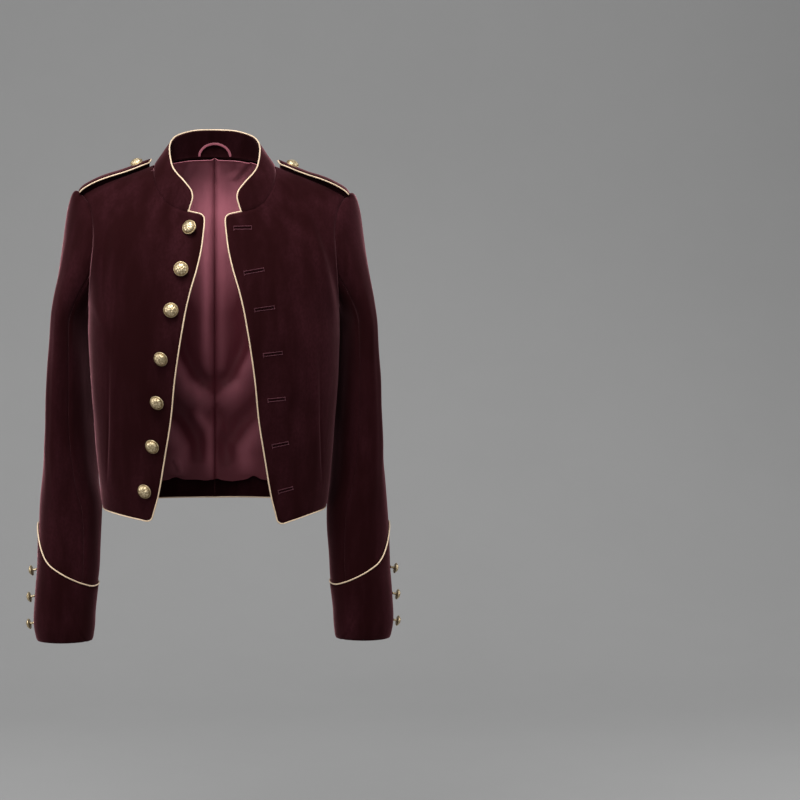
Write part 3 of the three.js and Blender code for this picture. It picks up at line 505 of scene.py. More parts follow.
def side_back_net():
    cols = len(ARMHOLE_BACK) - 1 - PRINCESS_ROW
    bottom = [hem_pair(mix(PRINCESS_HEM[0], SIDE_SEAM_ANGLE, i / cols))
              for i in range(cols + 1)]
    return Net(run(bottom), lambda column: back_armhole(PRINCESS_ROW + column), princess_line,
               run(SIDE_SEAM), (cols, SIDE_ROWS), SIDE_ROWS // 2)


FRONT, BACK, SIDE_BACK = front_net(), back_net(), side_back_net()


def fine(count, cells):
    """Numbers from 0 to count with so many cells in each step."""
    return [i / cells for i in range(count * cells + 1)]


def rounded(u, v, radius):
    """Moves a place near a square corner so that the corner becomes round."""
    p, q = radius - u, radius - v
    if p <= 0 or q <= 0:
        return u, v
    share = max(p, q) / math.hypot(p, q)
    return radius - p * share, radius - q * share


def net_samples(net, side, cells, corners=()):
    """Rows of samples of a panel. `corners` rounds its left border's ends: row, radius."""
    rows = []
    for row in fine(net.rows, cells):
        line = []
        for column in fine(net.columns, cells):
            c, r = column, row
            for end, radius, wide, tall in corners:
                u, v = rounded(c * wide, abs(r - end) * tall, radius)
                c, r = u / wide, end + math.copysign(v / tall, r - end if r != end else -end + 1)
            point, normal = body_sample(side, *net(c, clamp(r, 0, net.rows)))
            if net is FRONT and side == 1:
                low = clamp((DROP_Z - point.z) / DROP_HEIGHT) ** 2
                point.z -= LEFT_CORNER_DROP * low * gauss(point.x - DROP_X, DROP_WIDTH)
            line.append((point, normal))
        rows.append(line)
    return rows


# The front's hem corner and neck corner: row, radius, and the size of a cell there
FRONT_CORNERS = ((0, 5, 7, 25), (20, 4.5, 21, 11))


# ------------------------------------------------------------------ the sleeves' surface

def sleeve_point(side, angle, z):
    x, y, thick, deep, turn = (curve(z) for curve in sleeve_curves)
    across, ahead = thick * math.sin(rad(angle)), deep * math.cos(rad(angle))
    turn = rad(turn)
    return Vector((side * (x + across * math.cos(turn) + ahead * math.sin(turn)),
                   y - ahead * math.cos(turn) + across * math.sin(turn), z))


def sleeve_sample(side, angle, z):
    around = sleeve_point(side, angle + 1, z) - sleeve_point(side, angle - 1, z)
    rise = sleeve_point(side, angle, z + 2) - sleeve_point(side, angle, z - 2)
    return sleeve_point(side, angle, z), around.cross(rise).normalized() * side


def slanted(side, tilt, reach):
    return Vector((side * math.cos(rad(tilt)), 0, math.sin(rad(tilt)))) * reach


def armhole_sample(side, column):
    if column <= UNDER_COLUMN:
        return body_sample(side, *front_armhole(column))
    return body_sample(side, *back_armhole(RING - column))


def cap_point(side, column, t):
    """The sleeve head, from the armhole at t = 0 to the first sleeve section at t = 1."""
    start, _ = armhole_sample(side, column % RING)
    end = sleeve_point(side, ring_angle(column), SLEEVE_TOP)
    low = (1 - math.cos(2 * math.pi * column / RING)) / 2
    leave = slanted(side, mix(CAP_TIP[0], CAP_UNDER[0], low ** CAP_EASE),
                    mix(CAP_TIP[1], CAP_UNDER[1], low))
    arrive = Vector((side * CAP_SPREAD, 0, -1)) * CAP_REACH * (end - start).length
    point = Vector([hermite(t, start[k], end[k], leave[k], arrive[k]) for k in range(3)])
    swell = SWELL_HEIGHT * (1 - low) ** SWELL_NARROW * math.sin(math.pi * t ** SWELL_PEAK)
    return point + slanted(side, SWELL_TILT, swell)


def sleeve_rings(side, cells):
    """Rows of samples round the sleeve, from the armhole down."""
    cap_rows, low_rows = 6 * cells, 12 * cells
    ring = [i / cells for i in range(RING * cells)]
    points = [[cap_point(side, column, row / cap_rows) for column in ring]
              for row in range(cap_rows + 1)]
    for row in range(1, low_rows + 1):
        z = mix(SLEEVE_TOP, SLEEVE_END, row / low_rows)
        points.append([sleeve_point(side, ring_angle(column), z) for column in ring])
    for _ in range(8):
        ease_rows(points, cap_rows, 2 * cells)
    last, around = len(points) - 1, len(ring)
    rows = []
    for i, line in enumerate(points):
        above, below = points[max(i - 1, 0)], points[min(i + 1, last)]
        row = []
        for k, point in enumerate(line):
            across = line[k - 1] - line[(k + 1) % around]
            normal = across.cross(below[k] - above[k]).normalized() * -side
            row.append((point, normal))
        rows.append(row)
    return rows


def ease_rows(points, centre, reach):
    """Smooths the uprights of a sleeve over some rows on either side of one."""
    before = [list(line) for line in points]
    for i in range(centre - reach, centre + reach + 1):
        for k in range(len(points[i])):
            mean = (before[i - 1][k] + before[i + 1][k]) / 2
            points[i][k] = before[i][k].lerp(mean, 0.5)


# ------------------------------------------------------------------ turning samples into cloth

def moved(sample, out):
    return sample[0] + sample[1] * out


def lengths(points):
    total = [0.0]
    for a, b in zip(points, points[1:]):
        total.append(total[-1] + (b - a).length)
    return total


def measured(rows):
    """How far each sample lies along its row and up its column."""
    across = [lengths([s[0] for s in row]) for row in rows]
    up = list(zip(*[lengths([row[k][0] for row in rows]) for k in range(len(rows[0]))]))
    return across, up


def step_at(points, i):
    """From the point before one to the point after it, as far as there are any."""
    return points[min(i + 1, len(points) - 1)] - points[max(i - 1, 0)]


def gauss(distance, width):
    return math.exp(-((distance / width) ** 2))


def segment_share(x, z, a, b):
    """Distance of a place from a line between two points, and how far along it lies."""
    dx, dz = b[0] - a[0], b[1] - a[1]
    t = clamp(((x - a[0]) * dx + (z - a[1]) * dz) / (dx * dx + dz * dz))
    return math.hypot(x - a[0] - t * dx, z - a[1] - t * dz), t


def fold(x, z, line, width, depth, fade=0.35):
    """A soft fold along a line of points, which fades towards its two ends."""
    best, share = 1e9, 0
    for k, (a, b) in enumerate(zip(line, line[1:])):
        distance, t = segment_share(x, z, a, b)
        if distance < best:
            best, share = distance, (k + t) / (len(line) - 1)
    if best > 3 * width:
        return 0
    ends = min(share, 1 - share) / fade
    return depth * gauss(best, width) * clamp(ends) ** 0.7


def settled(point, size, height, seed):
    """A slow unevenness of hanging cloth, the same wherever two panels meet."""
    return height * noise.noise(point / size + Vector((seed, seed * 2, 0)))


# How a border of a panel ends: how far it is drawn in (or out), how deep and wide it turns down
SEAM, PIPED, FREE = (-0.2, 0.95, 2.3), (-0.65, 0.4, 2.0), (0, 0, 1)


def beside_seam(distance):
    """How far the cloth swells beside a seam, at a distance from it."""
    return 0.4 * gauss(distance - 5.5, 3)


def dressed(rows, borders, relief=None):
    """Samples with their borders drawn in or out, turned down at seams and given relief."""
    across, up = measured(rows)
    out = []
    last, end = len(rows) - 1, len(rows[0]) - 1
    for i, row in enumerate(rows):
        line = []
        for k, (point, normal) in enumerate(row):
            away = {"L": across[i][k], "R": across[i][-1] - across[i][k], "B": up[i][k],
                    "T": up[last][k] - up[i][k]}
            down = sum(borders[s][1] * gauss(away[s], borders[s][2]) for s in borders)
            height = relief(point, away) if relief else 0
            height += sum(beside_seam(away[s]) for s in borders if borders[s] == SEAM)
            line.append((point + normal * (height - down), normal))
        out.append(line)

    def pull(i, k, toward_i, toward_k, amount):
        way = rows[toward_i][toward_k][0] - rows[i][k][0]
        if way.length > 1e-6:
            point, normal = out[i][k]
            out[i][k] = (point + way.normalized() * amount, normal)

    for i in range(last + 1):
        pull(i, 0, i, 1, borders["L"][0])
        pull(i, end, i, end - 1, borders["R"][0])
    for k in range(end + 1):
        pull(0, k, 1, k, borders["B"][0])
        pull(last, k, last - 1, k, borders["T"][0])
    return out


def turned_in(seam, row, depth):
    """A row of samples on a seam, sunk into the cloth that they are sewn to."""
    return [(point - inward * depth, sample[1]) for (point, inward), sample in zip(seam, row)]


def grid_object(name, rows, materials, face_material=None):
    """A cloth from rows of samples, with its faces turned the way the samples point."""
    height, width = len(rows), len(rows[0])
    across, up = measured(rows)
    shape = bmesh.new()
    bmesh.ops.create_grid(shape, x_segments=width - 1, y_segments=height - 1, size=1)
    if len(shape.verts) != width * height:
        raise RuntimeError(f"{name}: the grid has {len(shape.verts)} points")
    place = {}
    for vert in shape.verts:
        k = round((vert.co.x + 1) / 2 * (width - 1))
        i = round((vert.co.y + 1) / 2 * (height - 1))
        place[vert] = (i, k)
    for vert, (i, k) in place.items():
        vert.co = rows[i][k][0] * MM
    uv = shape.loops.layers.uv.new("Cloth")
    shape.normal_update()
    agree = 0
    for face in shape.faces:
        i, k = place[face.verts[0]]
        agree += 1 if face.normal.dot(rows[i][k][1]) > 0 else -1
        if face_material:
            face.material_index = face_material(i, k)
        for loop in face.loops:
            i, k = place[loop.vert]
            loop[uv].uv = (across[i][k] * MM, up[i][k] * MM)
    if agree < 0:
        bmesh.ops.reverse_faces(shape, faces=shape.faces)
    return mesh_object(name, shape, materials)


def mesh_object(name, shape, materials):
    for face in shape.faces:
        face.smooth = True
    mesh = bpy.data.meshes.new(name)
    shape.to_mesh(mesh)
    shape.free()
    for material in materials:
        mesh.materials.append(material)
    piece = bpy.data.objects.new(name, mesh)
    bpy.context.scene.collection.objects.link(piece)
    return piece


def thickened(piece, thickness, inner=1, rim=0, soften=0.0004):
    """Gives a cloth its thickness, inwards, and rounds its cut edges."""
    solid = piece.modifiers.new("Thickness", "SOLIDIFY")
    solid.thickness = thickness
    solid.offset = -1
    solid.use_quality_normals = True
    solid.material_offset = inner
    solid.material_offset_rim = rim
    bevel = piece.modifiers.new("Soft edge", "BEVEL")
    bevel.width = soften
    bevel.segments = 2
    bevel.limit_method = "ANGLE"
    bevel.angle_limit = rad(50)
    bevel.use_clamp_overlap = True
    return piece


def settle(piece, slot, *nodes):
    """Ties a finished piece to the frame and hides the nodes it stands for."""
    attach(piece, "root")
    if nodes:
        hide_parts(*nodes)
    return piece


def sheet_piece(name, node, rows, titles, thickness, slot="velvet", facing=None, **cut):
    """A finished sheet: its mesh and thickness; its slot is not used."""
    piece = grid_object(name, rows, [material(title) for title in titles], facing)
    thickened(piece, thickness, **cut)
    settle(piece, slot, node)
    return piece


# ------------------------------------------------------------------ shader groups and materials

def node_group(name, inputs, outputs):
    tree = bpy.data.node_groups.new(name, "ShaderNodeTree")
    for kind, title, default in inputs:
        socket = tree.interface.new_socket(title, in_out="INPUT", socket_type=kind)
        if default is not None:
            socket.default_value = default
    for kind, title in outputs:
        tree.interface.new_socket(title, in_out="OUTPUT", socket_type=kind)
    return tree, tree.nodes.new("NodeGroupInput"), tree.nodes.new("NodeGroupOutput")


def add_node(tree, kind, values=(), **settings):
    node = tree.nodes.new(kind)
    for key, value in settings.items():
        setattr(node, key, value)
    for key, value in dict(values).items():
        node.inputs[key].default_value = value
    return node


def math_node(tree, operation, a, b=None):
    node = add_node(tree, "ShaderNodeMath", operation=operation)
    for socket, value in zip(node.inputs, (a, b)):
        if value is None:
            continue
        if isinstance(value, bpy.types.NodeSocket):
            tree.links.new(value, socket)
        else:
            socket.default_value = value
    return node.outputs[0]


def mottle_group():
    """Soft patches of two sizes, as a mask from 0 to 1."""
    if "Mottle" in bpy.data.node_groups:
        return bpy.data.node_groups["Mottle"]
    tree, given, result = node_group(
        "Mottle",
        [("NodeSocketVector", "Vector", None), ("NodeSocketFloat", "Scale", 10.0),
         ("NodeSocketFloat", "Low", 0.35), ("NodeSocketFloat", "High", 0.65)],
        [("NodeSocketFloat", "Mask")])
    broad = add_node(tree, "ShaderNodeTexNoise", {"Detail": 3.0, "Roughness": 0.55})
    small = add_node(tree, "ShaderNodeTexNoise", {"Detail": 2.0, "Roughness": 0.5})
    tree.links.new(given.outputs["Vector"], broad.inputs["Vector"])
    tree.links.new(given.outputs["Vector"], small.inputs["Vector"])
    tree.links.new(given.outputs["Scale"], broad.inputs["Scale"])
    tree.links.new(math_node(tree, "MULTIPLY", given.outputs["Scale"], 4.3),
                   small.inputs["Scale"])
    low = math_node(tree, "MULTIPLY", small.outputs["Fac"], 0.3)
    total = math_node(tree, "MULTIPLY_ADD", broad.outputs["Fac"], 0.7)
    tree.links.new(low, total.node.inputs[2])
    spread = add_node(tree, "ShaderNodeMapRange", interpolation_type="SMOOTHSTEP")
    tree.links.new(total, spread.inputs["Value"])
    tree.links.new(given.outputs["Low"], spread.inputs["From Min"])
    tree.links.new(given.outputs["High"], spread.inputs["From Max"])
    tree.links.new(spread.outputs["Result"], result.inputs["Mask"])
    return tree


def weave_group():
    """Crossed threads as a height from 0 to 1, on a UV map in metres."""
    if "Weave" in bpy.data.node_groups:
        return bpy.data.node_groups["Weave"]
    tree, given, result = node_group(
        "Weave",
        [("NodeSocketVector", "Vector", None), ("NodeSocketFloat", "Warp", 2500.0),
         ("NodeSocketFloat", "Weft", 2500.0)],
        [("NodeSocketFloat", "Height")])
    parts = add_node(tree, "ShaderNodeSeparateXYZ")
    tree.links.new(given.outputs["Vector"], parts.inputs[0])
    threads = []
    for axis, count in (("X", "Warp"), ("Y", "Weft")):
        turn = math_node(tree, "MULTIPLY", parts.outputs[axis], given.outputs[count])
        wave = math_node(tree, "SINE", math_node(tree, "MULTIPLY", turn, 2 * math.pi))
        threads.append(wave)
    crossed = math_node(tree, "MULTIPLY", *threads)
    half = math_node(tree, "MULTIPLY", crossed, 0.5)
    tree.links.new(math_node(tree, "ADD", half, 0.5), result.inputs["Height"])
    return tree


class Finish:
    """A material with its principled shader and short calls for its nodes."""

    def __init__(self, name):
        self.material = bpy.data.materials.new(name)
        self.material.use_nodes = True
        self.tree = self.material.node_tree
        self.shader = self.tree.nodes["Principled BSDF"]
        coords = self.add("ShaderNodeTexCoord")
        self.place, self.cloth = coords.outputs["Object"], coords.outputs["UV"]

    def add(self, kind, values=(), **settings):
        return add_node(self.tree, kind, values, **settings)

    def link(self, a, b):
        self.tree.links.new(a, b)

    def use(self, title, value):
        """Feeds an input of the shader."""
        self.link(value, self.shader.inputs[title])

    def constants(self, **values):
        for key, value in values.items():
            socket = self.shader.inputs[key.replace("_", " ")]
            if hasattr(socket.default_value, "__len__") and len(value) == 3:
                value = (*value, 1)
            socket.default_value = value

    def mapped(self, source, scale):
        node = self.add("ShaderNodeMapping", {"Scale": scale})
        self.link(source, node.inputs["Vector"])
        return node.outputs["Vector"]

    def mottle(self, source, scale, low=0.35, high=0.65):
        node = self.add("ShaderNodeGroup", node_tree=mottle_group())
        self.link(source, node.inputs["Vector"])
        for key, value in (("Scale", scale), ("Low", low), ("High", high)):
            node.inputs[key].default_value = value
        return node.outputs["Mask"]

    def weave(self, warp, weft):
        node = self.add("ShaderNodeGroup", node_tree=weave_group())
        self.link(self.cloth, node.inputs["Vector"])
        node.inputs["Warp"].default_value = warp
        node.inputs["Weft"].default_value = weft
        return node.outputs["Height"]

    def blend(self, mask, first, second):
        """A mix of two colours; each is a colour or a socket."""
        node = self.add("ShaderNodeMix", data_type="RGBA")
        self.link(mask, node.inputs["Factor"])
        for socket, value in ((node.inputs[6], first), (node.inputs[7], second)):
            if isinstance(value, bpy.types.NodeSocket):
                self.link(value, socket)
            else:
                socket.default_value = (*value, 1)
        return node.outputs[2]

    def spread(self, mask, low, high):
        node = self.add("ShaderNodeMapRange", {"To Min": low, "To Max": high})
        self.link(mask, node.inputs["Value"])
        return node.outputs["Result"]

    def bump(self, height, distance, strength=1.0, below=None):
        node = self.add("ShaderNodeBump", {"Strength": strength, "Distance": distance})
        self.link(height, node.inputs["Height"])
        if below is not None:
            self.link(below, node.inputs["Normal"])
        return node.outputs["Normal"]

    def noise(self, source, scale, detail=2.0):
        node = self.add("ShaderNodeTexNoise", {"Scale": scale, "Detail": detail})
        self.link(source, node.inputs["Vector"])
        return node.outputs["Fac"]


def velvet_finish(name, light=1.0):
    colours = bpy.context.scene.jacket_colours
    finish = Finish(name)
    # Soft upright streaks of lighter velvet: partly the pile's lie, partly painted sheen
    nap_and_sheen_streaks = finish.mottle(finish.mapped(finish.place, (1, 1, 0.22)), 16, 0.38, 0.66)
    patches = finish.mottle(finish.place, 11, 0.4, 0.68)
    dark = tuple(c * light for c in colours.velvet)
    bright = tuple(c * light for c in colours.velvet_nap_and_sheen)
    body = finish.blend(nap_and_sheen_streaks, dark, bright)
    body = finish.blend(finish.spread(patches, 0, 0.5), body, dark)
    grain = finish.noise(finish.mapped(finish.place, (1, 1, 0.6)), 380, 3)
    body = finish.blend(finish.spread(grain, -0.6, 1.1), body, dark)
    finish.use("Base Color", body)
    finish.constants(
        Sheen_Weight=0.5, Sheen_Roughness=0.3, Sheen_Tint=tuple(colours.velvet_sheen),
        Specular_IOR_Level=0.0)
    finish.use("Roughness", finish.spread(nap_and_sheen_streaks, 0.95, 0.82))
    pile = finish.noise(finish.mapped(finish.place, (1, 1, 0.45)), 1400, 3)
    nap = finish.bump(nap_and_sheen_streaks, 0.0006, 0.35)
    finish.use("Normal", finish.bump(pile, 0.00022, 0.5, nap))
    return finish.material


def satin_finish():
    colours = bpy.context.scene.jacket_colours
    finish = Finish("satin_lining")
    shade = finish.mottle(finish.mapped(finish.place, (1, 1, 0.4)), 20)
    # Painted shade: the satin turns to its shaded colour where the mesh's shade attribute says
    painted_shade_and_tarnish = finish.add("ShaderNodeAttribute", attribute_name="painted_shade_and_tarnish")
    cloth = finish.blend(painted_shade_and_tarnish.outputs["Fac"], tuple(colours.satin), tuple(colours.satin_shade_and_patches))
    finish.use("Base Color", finish.blend(finish.spread(shade, 0, 0.25), cloth,
                                          tuple(colours.satin_shade_and_patches)))
    finish.use("Roughness", finish.spread(shade, 0.36, 0.46))
    finish.constants(Specular_IOR_Level=0.12)
    wrinkles = finish.bump(finish.noise(finish.mapped(finish.place, (1, 1, 0.5)), 60, 3),
                           0.0016, 0.5)
    finish.use("Normal", finish.bump(finish.weave(1900, 2600), 0.00012, 0.35, wrinkles))
    return finish.material


def cord_finish():
    """Piping: a bias strip round a cord, with its weave."""
    colours = bpy.context.scene.jacket_colours
    finish = Finish("gold_piping")
    shade = finish.mottle(finish.place, 60)
    light = tuple(colours.cord)
    dark = tuple(c * 0.72 for c in light)
    finish.use("Base Color", finish.blend(finish.spread(shade, 0, 0.5), light, dark))
    finish.use("Roughness", finish.spread(shade, 0.38, 0.52))
    finish.constants(Sheen_Weight=0.15, Metallic=0.15, Specular_IOR_Level=0.5)
    finish.use("Normal", finish.bump(finish.weave(1500, 1500), 0.00014, 0.4))
    return finish.material


def thread_finish(name, shade):
    finish = Finish(name)
    base = finish.mottle(finish.place, 90)
    finish.use("Base Color", finish.blend(base, shade, tuple(c * 0.6 for c in shade)))
    finish.use("Roughness", finish.spread(base, 0.5, 0.62))
    finish.constants(Specular_IOR_Level=0.2)
    finish.use("Normal", finish.bump(finish.noise(finish.place, 3000), 0.0001, 0.4))
    return finish.material


def brass_finish():
    """Antique gold: bright on the raised places, tarnished in the hollows."""
    colours = bpy.context.scene.jacket_colours
    finish = Finish("antique_gold")
    painted_shade_and_tarnish = finish.add("ShaderNodeAttribute", attribute_name="painted_shade_and_tarnish")
    patches = finish.mottle(finish.place, 300, 0.4, 0.62)
    metal = finish.blend(finish.spread(patches, 0, 0.6), tuple(colours.brass),
                         tuple(colours.brass_dark))
    finish.use("Base Color", finish.blend(painted_shade_and_tarnish.outputs["Fac"], metal,
                                          tuple(colours.brass_dark)))
    worn = math_node(finish.tree, "MULTIPLY", painted_shade_and_tarnish.outputs["Fac"], 0.22)
    rough = math_node(finish.tree, "ADD", worn, finish.spread(patches, 0.27, 0.4))
    finish.use("Roughness", rough)
    finish.constants(Metallic=0.92)
    finish.use("Normal", finish.bump(finish.noise(finish.place, 620, 3), 0.0005, 0.8))
    return finish.material


def material(name):
    """One of the jacket's materials, made when it is first asked for."""
    if name in bpy.data.materials:
        return bpy.data.materials[name]
    colours = bpy.context.scene.jacket_colours
    makers = {
        "velvet_outside": lambda: velvet_finish("velvet_outside"),
        # The velvet at half its colour: painted shade for faces turned inwards and under the
        # straps
        "velvet_painted_shade": lambda: velvet_finish("velvet_painted_shade", 0.5),
        "satin_lining": satin_finish,
        "gold_piping": cord_finish,
        "antique_gold": brass_finish,
        "plum_thread": lambda: thread_finish("plum_thread", tuple(colours.thread)),
    }
    return makers[name]()


# ------------------------------------------------------------------ body panels

DART = ((140, -221), (143, -346), (145, -389), (147, -435))
HEM_BAND = ((147, -436), (136, -440), (124, -444))
# Soft folds of the fronts: side (0 for both), line of x and z, width, height
FRONT_FOLDS = (
    (0, DART, 1.5, -1.3), (0, ((133, -228), (137, -346), (139, -432)), 5.5, 1.5),
    (0, HEM_BAND, 1.5, -0.8), (0, ((128, -449), (148, -442)), 4, 0.6),
    (1, ((118, -46), (145, -125), (166, -220)), 8, 2.4),
    (1, ((128, -50), (154, -122), (174, -205)), 7, -1.8),
    (1, ((80, -64), (94, -100), (105, -132)), 6, 1.3),
    (1, ((110, -170), (104, -280), (112, -390)), 15, 1.4),
    (-1, ((162, -60), (155, -112), (166, -160)), 7, 1.6),
    (-1, ((124, -52), (132, -112), (128, -170)), 9, 1.7),
    (-1, ((143, -60), (144, -112), (147, -160)), 6, -1.3),
    (-1, ((162, -182), (146, -222)), 5, 1.4),
    (-1, ((100, -150), (92, -260), (100, -380)), 15, 1.5),
    (0, ((70, -90), (84, -200), (92, -300)), 12, -1.0),
)


def front_relief(side):
    def relief(point, away):
        x = point.x * side
        height = settled(point, 46, 0.9, 3)
        for which, line, width, depth in FRONT_FOLDS:
            if which in (0, side):
                height += fold(x, point.z, line, width, depth)
        pucker = noise.noise(Vector((point.x * 0.12, 0, point.z * 0.02)))
        height += 0.7 * pucker * gauss(away["T"], 14)
        return height * clamp(min(away["L"], 12) / 12 + 0.15)
    return relief


BACK_FOLDS = (
    (((100, -300), (98, -380), (100, -440)), 7, 0.9),
    (((122, -395), (132, -425), (134, -448)), 4, 0.9),
    (((146, -330), (143, -400), (140, -440)), 6, -0.9),
)


def back_relief(side):
    def relief(point, away):
        height = settled(point, 50, 0.9, 3)
        for line, width, depth in BACK_FOLDS:
            height += fold(point.x * side, point.z, line, width, depth)
        low = gauss(point.z + 445, 12) * clamp((abs(point.x) - 108) / 20)
        height += 0.8 * low * noise.noise(Vector((point.x * 0.16, 0, point.z * 0.03)))
        return height
    return relief


def velvet_panel(node, rows, borders, relief, facing):
    """A panel of the body. `facing` tells the material of a cell."""
    # Inner faces: the satin lining, or the half-bright velvet as painted shade where the inside
    # shows
    titles = ("velvet_outside", "satin_lining", "velvet_outside", "velvet_painted_shade")
    return sheet_piece(f"velvet_{node}", node, dressed(rows, borders, relief), titles,
                       bpy.context.scene.jacket_sizes.velvet, facing=facing)


class JACKET_OT_body(bpy.types.Operator):
    """Make the velvet panels of the body"""

    bl_idname = "jacket.body"
    bl_label = "Body Panels"
    bl_options = {"REGISTER", "UNDO"}

    def execute(self, context):
        cells = context.scene.jacket_sizes.grid
        facing_columns, facing_row = 4 * cells, (FRONT.rows - 1) * cells
        for side, name in SIDES:
            velvet_panel(
                f"front_{name}", net_samples(FRONT, side, cells, FRONT_CORNERS),
                {"L": PIPED, "R": SEAM, "B": PIPED, "T": SEAM}, front_relief(side),
                lambda i, k: 2 if k < facing_columns or i > facing_row else 0)
            for part, net in (("back", BACK), ("side_back", SIDE_BACK)):
                velvet_panel(
                    f"{part}_{name}", net_samples(net, side, cells),
                    {"L": SEAM, "R": SEAM, "B": PIPED, "T": SEAM}, back_relief(side),
                    lambda i, k: 2)
        return {"FINISHED"}


# ------------------------------------------------------------------ sleeves and cuffs

# Soft folds of the sleeves: line of angle and z, width in mm, height
SLEEVE_FOLDS = (
    (((60, -70), (40, -200), (34, -330), (38, -460)), 9, 1.8),
    (((84, -110), (76, -240), (70, -380)), 8, -1.4),
    (((10, -150), (4, -280), (12, -420), (20, -520)), 10, 1.5),
    (((-18, -190), (-24, -330), (-16, -470)), 9, -1.2),
    (((130, -90), (140, -220), (136, -360), (140, -520)), 10, 1.8),
    (((165, -130), (172, -280), (168, -430)), 9, -1.3),
    (((-52, -230), (-62, -360), (-56, -540)), 11, 1.2),
    (((200, -200), (206, -340), (202, -480)), 10, 1.2),
)
MM_PER_DEGREE = 0.87           # round the sleeve


def sleeve_relief(side):
    def relief(point, angle, top):
        height = settled(point, 48, 1.2, 7)
        place = ((angle + 90) % 360 - 90) * MM_PER_DEGREE
        for line, width, depth in SLEEVE_FOLDS:
            turned = [(a * MM_PER_DEGREE, z) for a, z in line]
            height += fold(place, point.z, turned, width, depth)
        pucker = math.sin(math.radians(angle) * 23 + side) * gauss(top, 9)
        return height * clamp(top / 25) + 0.45 * pucker * clamp(top / 4)
    return relief


def sleeve_half(rings, first, count, cells, side):
    """Rows of samples of one half of the sleeve, with its seams and folds."""
    around = len(rings[0])
    relief = sleeve_relief(side)
    rows = [[ring[(first * cells + k) % around] for k in range(count * cells + 1)]
            for ring in rings]

    def cloth(point, k, down):
        column = (first + k / cells) % RING
        return relief(point, ring_angle(column), down)

    seam = [armhole_sample(side, (first + k / cells) % RING) for k in range(count * cells + 1)]
    return dressed_sleeve(rows, cloth, seam)


def dressed_sleeve(rows, cloth, seam):
    """A sleeve half with its folds, and with its head turned in along the armhole."""
    across, down = measured(rows)
    out = []
    for i, row in enumerate(rows):
        line = []
        for k, (point, normal) in enumerate(row):
            edge = min(across[i][k], across[i][-1] - across[i][k])
            height = cloth(point, k, down[i][k]) - SEAM[1] * gauss(edge, SEAM[2])
            height += beside_seam(edge) * clamp(down[i][k] / 10)
            line.append((point + normal * height, normal))
        out.append(line)
    return [turned_in(seam, out[0], SLEEVE_TURNED_IN), turned_in(seam, out[0], SEAM[1]),
            *out[1:]]


def cuff_rows(side, cells):
    angles = []
    for i in range(RING * cells + 1):
        column = BACK_SEAM + i / cells
        turned = ring_angle(column % RING)
        angles.append(turned + (0 if column >= RING else 360))
    for i, angle in enumerate(angles):
        angles[i] = angle + VENT_SLOT * clamp((i - len(angles) + 1 + cells) / cells)
    rows = []
    for row in range(5 * cells + 1):
        share = (row / (5 * cells)) ** 1.5
        line = []
        for angle in angles:
            low = CUFF_Z + 3.6 * max(math.cos(rad(angle)), 0)
            point, normal = sleeve_sample(side, angle, mix(low, cuff_top_at(angle), share))
            line.append((point + normal * CUFF_LIFT, normal))
        rows.append(line)
    return rows


def cuff_relief(point, away):
    """The cuff's turned end, its seam in line with the sleeve's, and its unevenness."""
    seam = away["L"] - CUFF_SEAM
    return (settled(point, 30, 0.4, 5) - 0.8 * gauss(away["B"], 2.2)
            - 0.9 * gauss(seam, 1.8) + 0.3 * gauss(abs(seam) - 5, 3))


class JACKET_OT_sleeves(bpy.types.Operator):
    """Make the two-piece sleeves and their shaped cuffs"""

    bl_idname = "jacket.sleeves"
    bl_label = "Sleeves and Cuffs"
    bl_options = {"REGISTER", "UNDO"}

    def execute(self, context):
        sizes = context.scene.jacket_sizes
        cells, titles = sizes.grid, ("velvet_outside", "satin_lining")
        for side, name in SIDES:
            rings = sleeve_rings(side, cells)
            under = sleeve_half(rings, FRONT_SEAM, BACK_SEAM - FRONT_SEAM, cells, side)
            upper = sleeve_half(rings, BACK_SEAM, RING - BACK_SEAM + FRONT_SEAM, cells, side)
            cuff = dressed(cuff_rows(side, cells),
                           {"L": PIPED, "R": FREE, "B": FREE, "T": PIPED}, cuff_relief)
            for part, rows in (("upper_sleeve", upper), ("under_sleeve", under),
                               ("cuff", cuff)):
                sheet_piece(f"velvet_{part}_{name}", f"{part}_{name}", rows, titles,
                            sizes.velvet)
        return {"FINISHED"}


# ------------------------------------------------------------------ collar and straps

def neck_sample(side, i):
    """The neck seam: 0 at the collar's front end, 7 at the shoulder, 11 at the back."""
    pair = FRONT.top(1 + i) if i <= 7 else BACK.top(11 - i)
    return body_sample(side, *pair)


collar_top_at = run(COLLAR_TOP)
COLLAR_CORNER = 8


def collar_seam(side, cells):
    return [neck_sample(side, i / cells) for i in range(11 * cells + 1)]


def collar_side(side, cells, rows_count):
    numbers = [i / cells for i in range(11 * cells + 1)]
    seam = collar_seam(side, cells)
    wide = (Vector(COLLAR_TOP[1]) - Vector(COLLAR_TOP[0])).length
    tall = (mirrored(seam[0][0], side) - Vector(COLLAR_TOP[0])).length
    rows = []
    for row in range(rows_count + 1):
        line = []
        for i in numbers:
            u, v = rounded(i * wide, (1 - row / rows_count) * tall, COLLAR_CORNER)
            at, share = u / wide, 1 - v / tall
            top = Vector(collar_top_at(at))
            top.x *= side
            line.append(neck_sample(side, at)[0].lerp(top, share))
        rows.append(line)
    return rows


def collar_samples(cells):
    """Rows of samples round the whole collar, from the wearer's left end to the right one."""
    count = 2 * cells
    left, right = collar_side(1, cells, count), collar_side(-1, cells, count)
    points = [a[:-1] + list(reversed(b)) for a, b in zip(left, right)]
    uprights = list(zip(*points))
    rows = [[(point, step_at(uprights[k], i).cross(step_at(line, k)).normalized())
             for k, point in enumerate(line)] for i, line in enumerate(points)]
    quarter = (len(uprights) - 1) // 4
    if rows[count // 2][quarter][1].x < 0:
        rows = [[(point, -normal) for point, normal in row] for row in rows]
    return rows


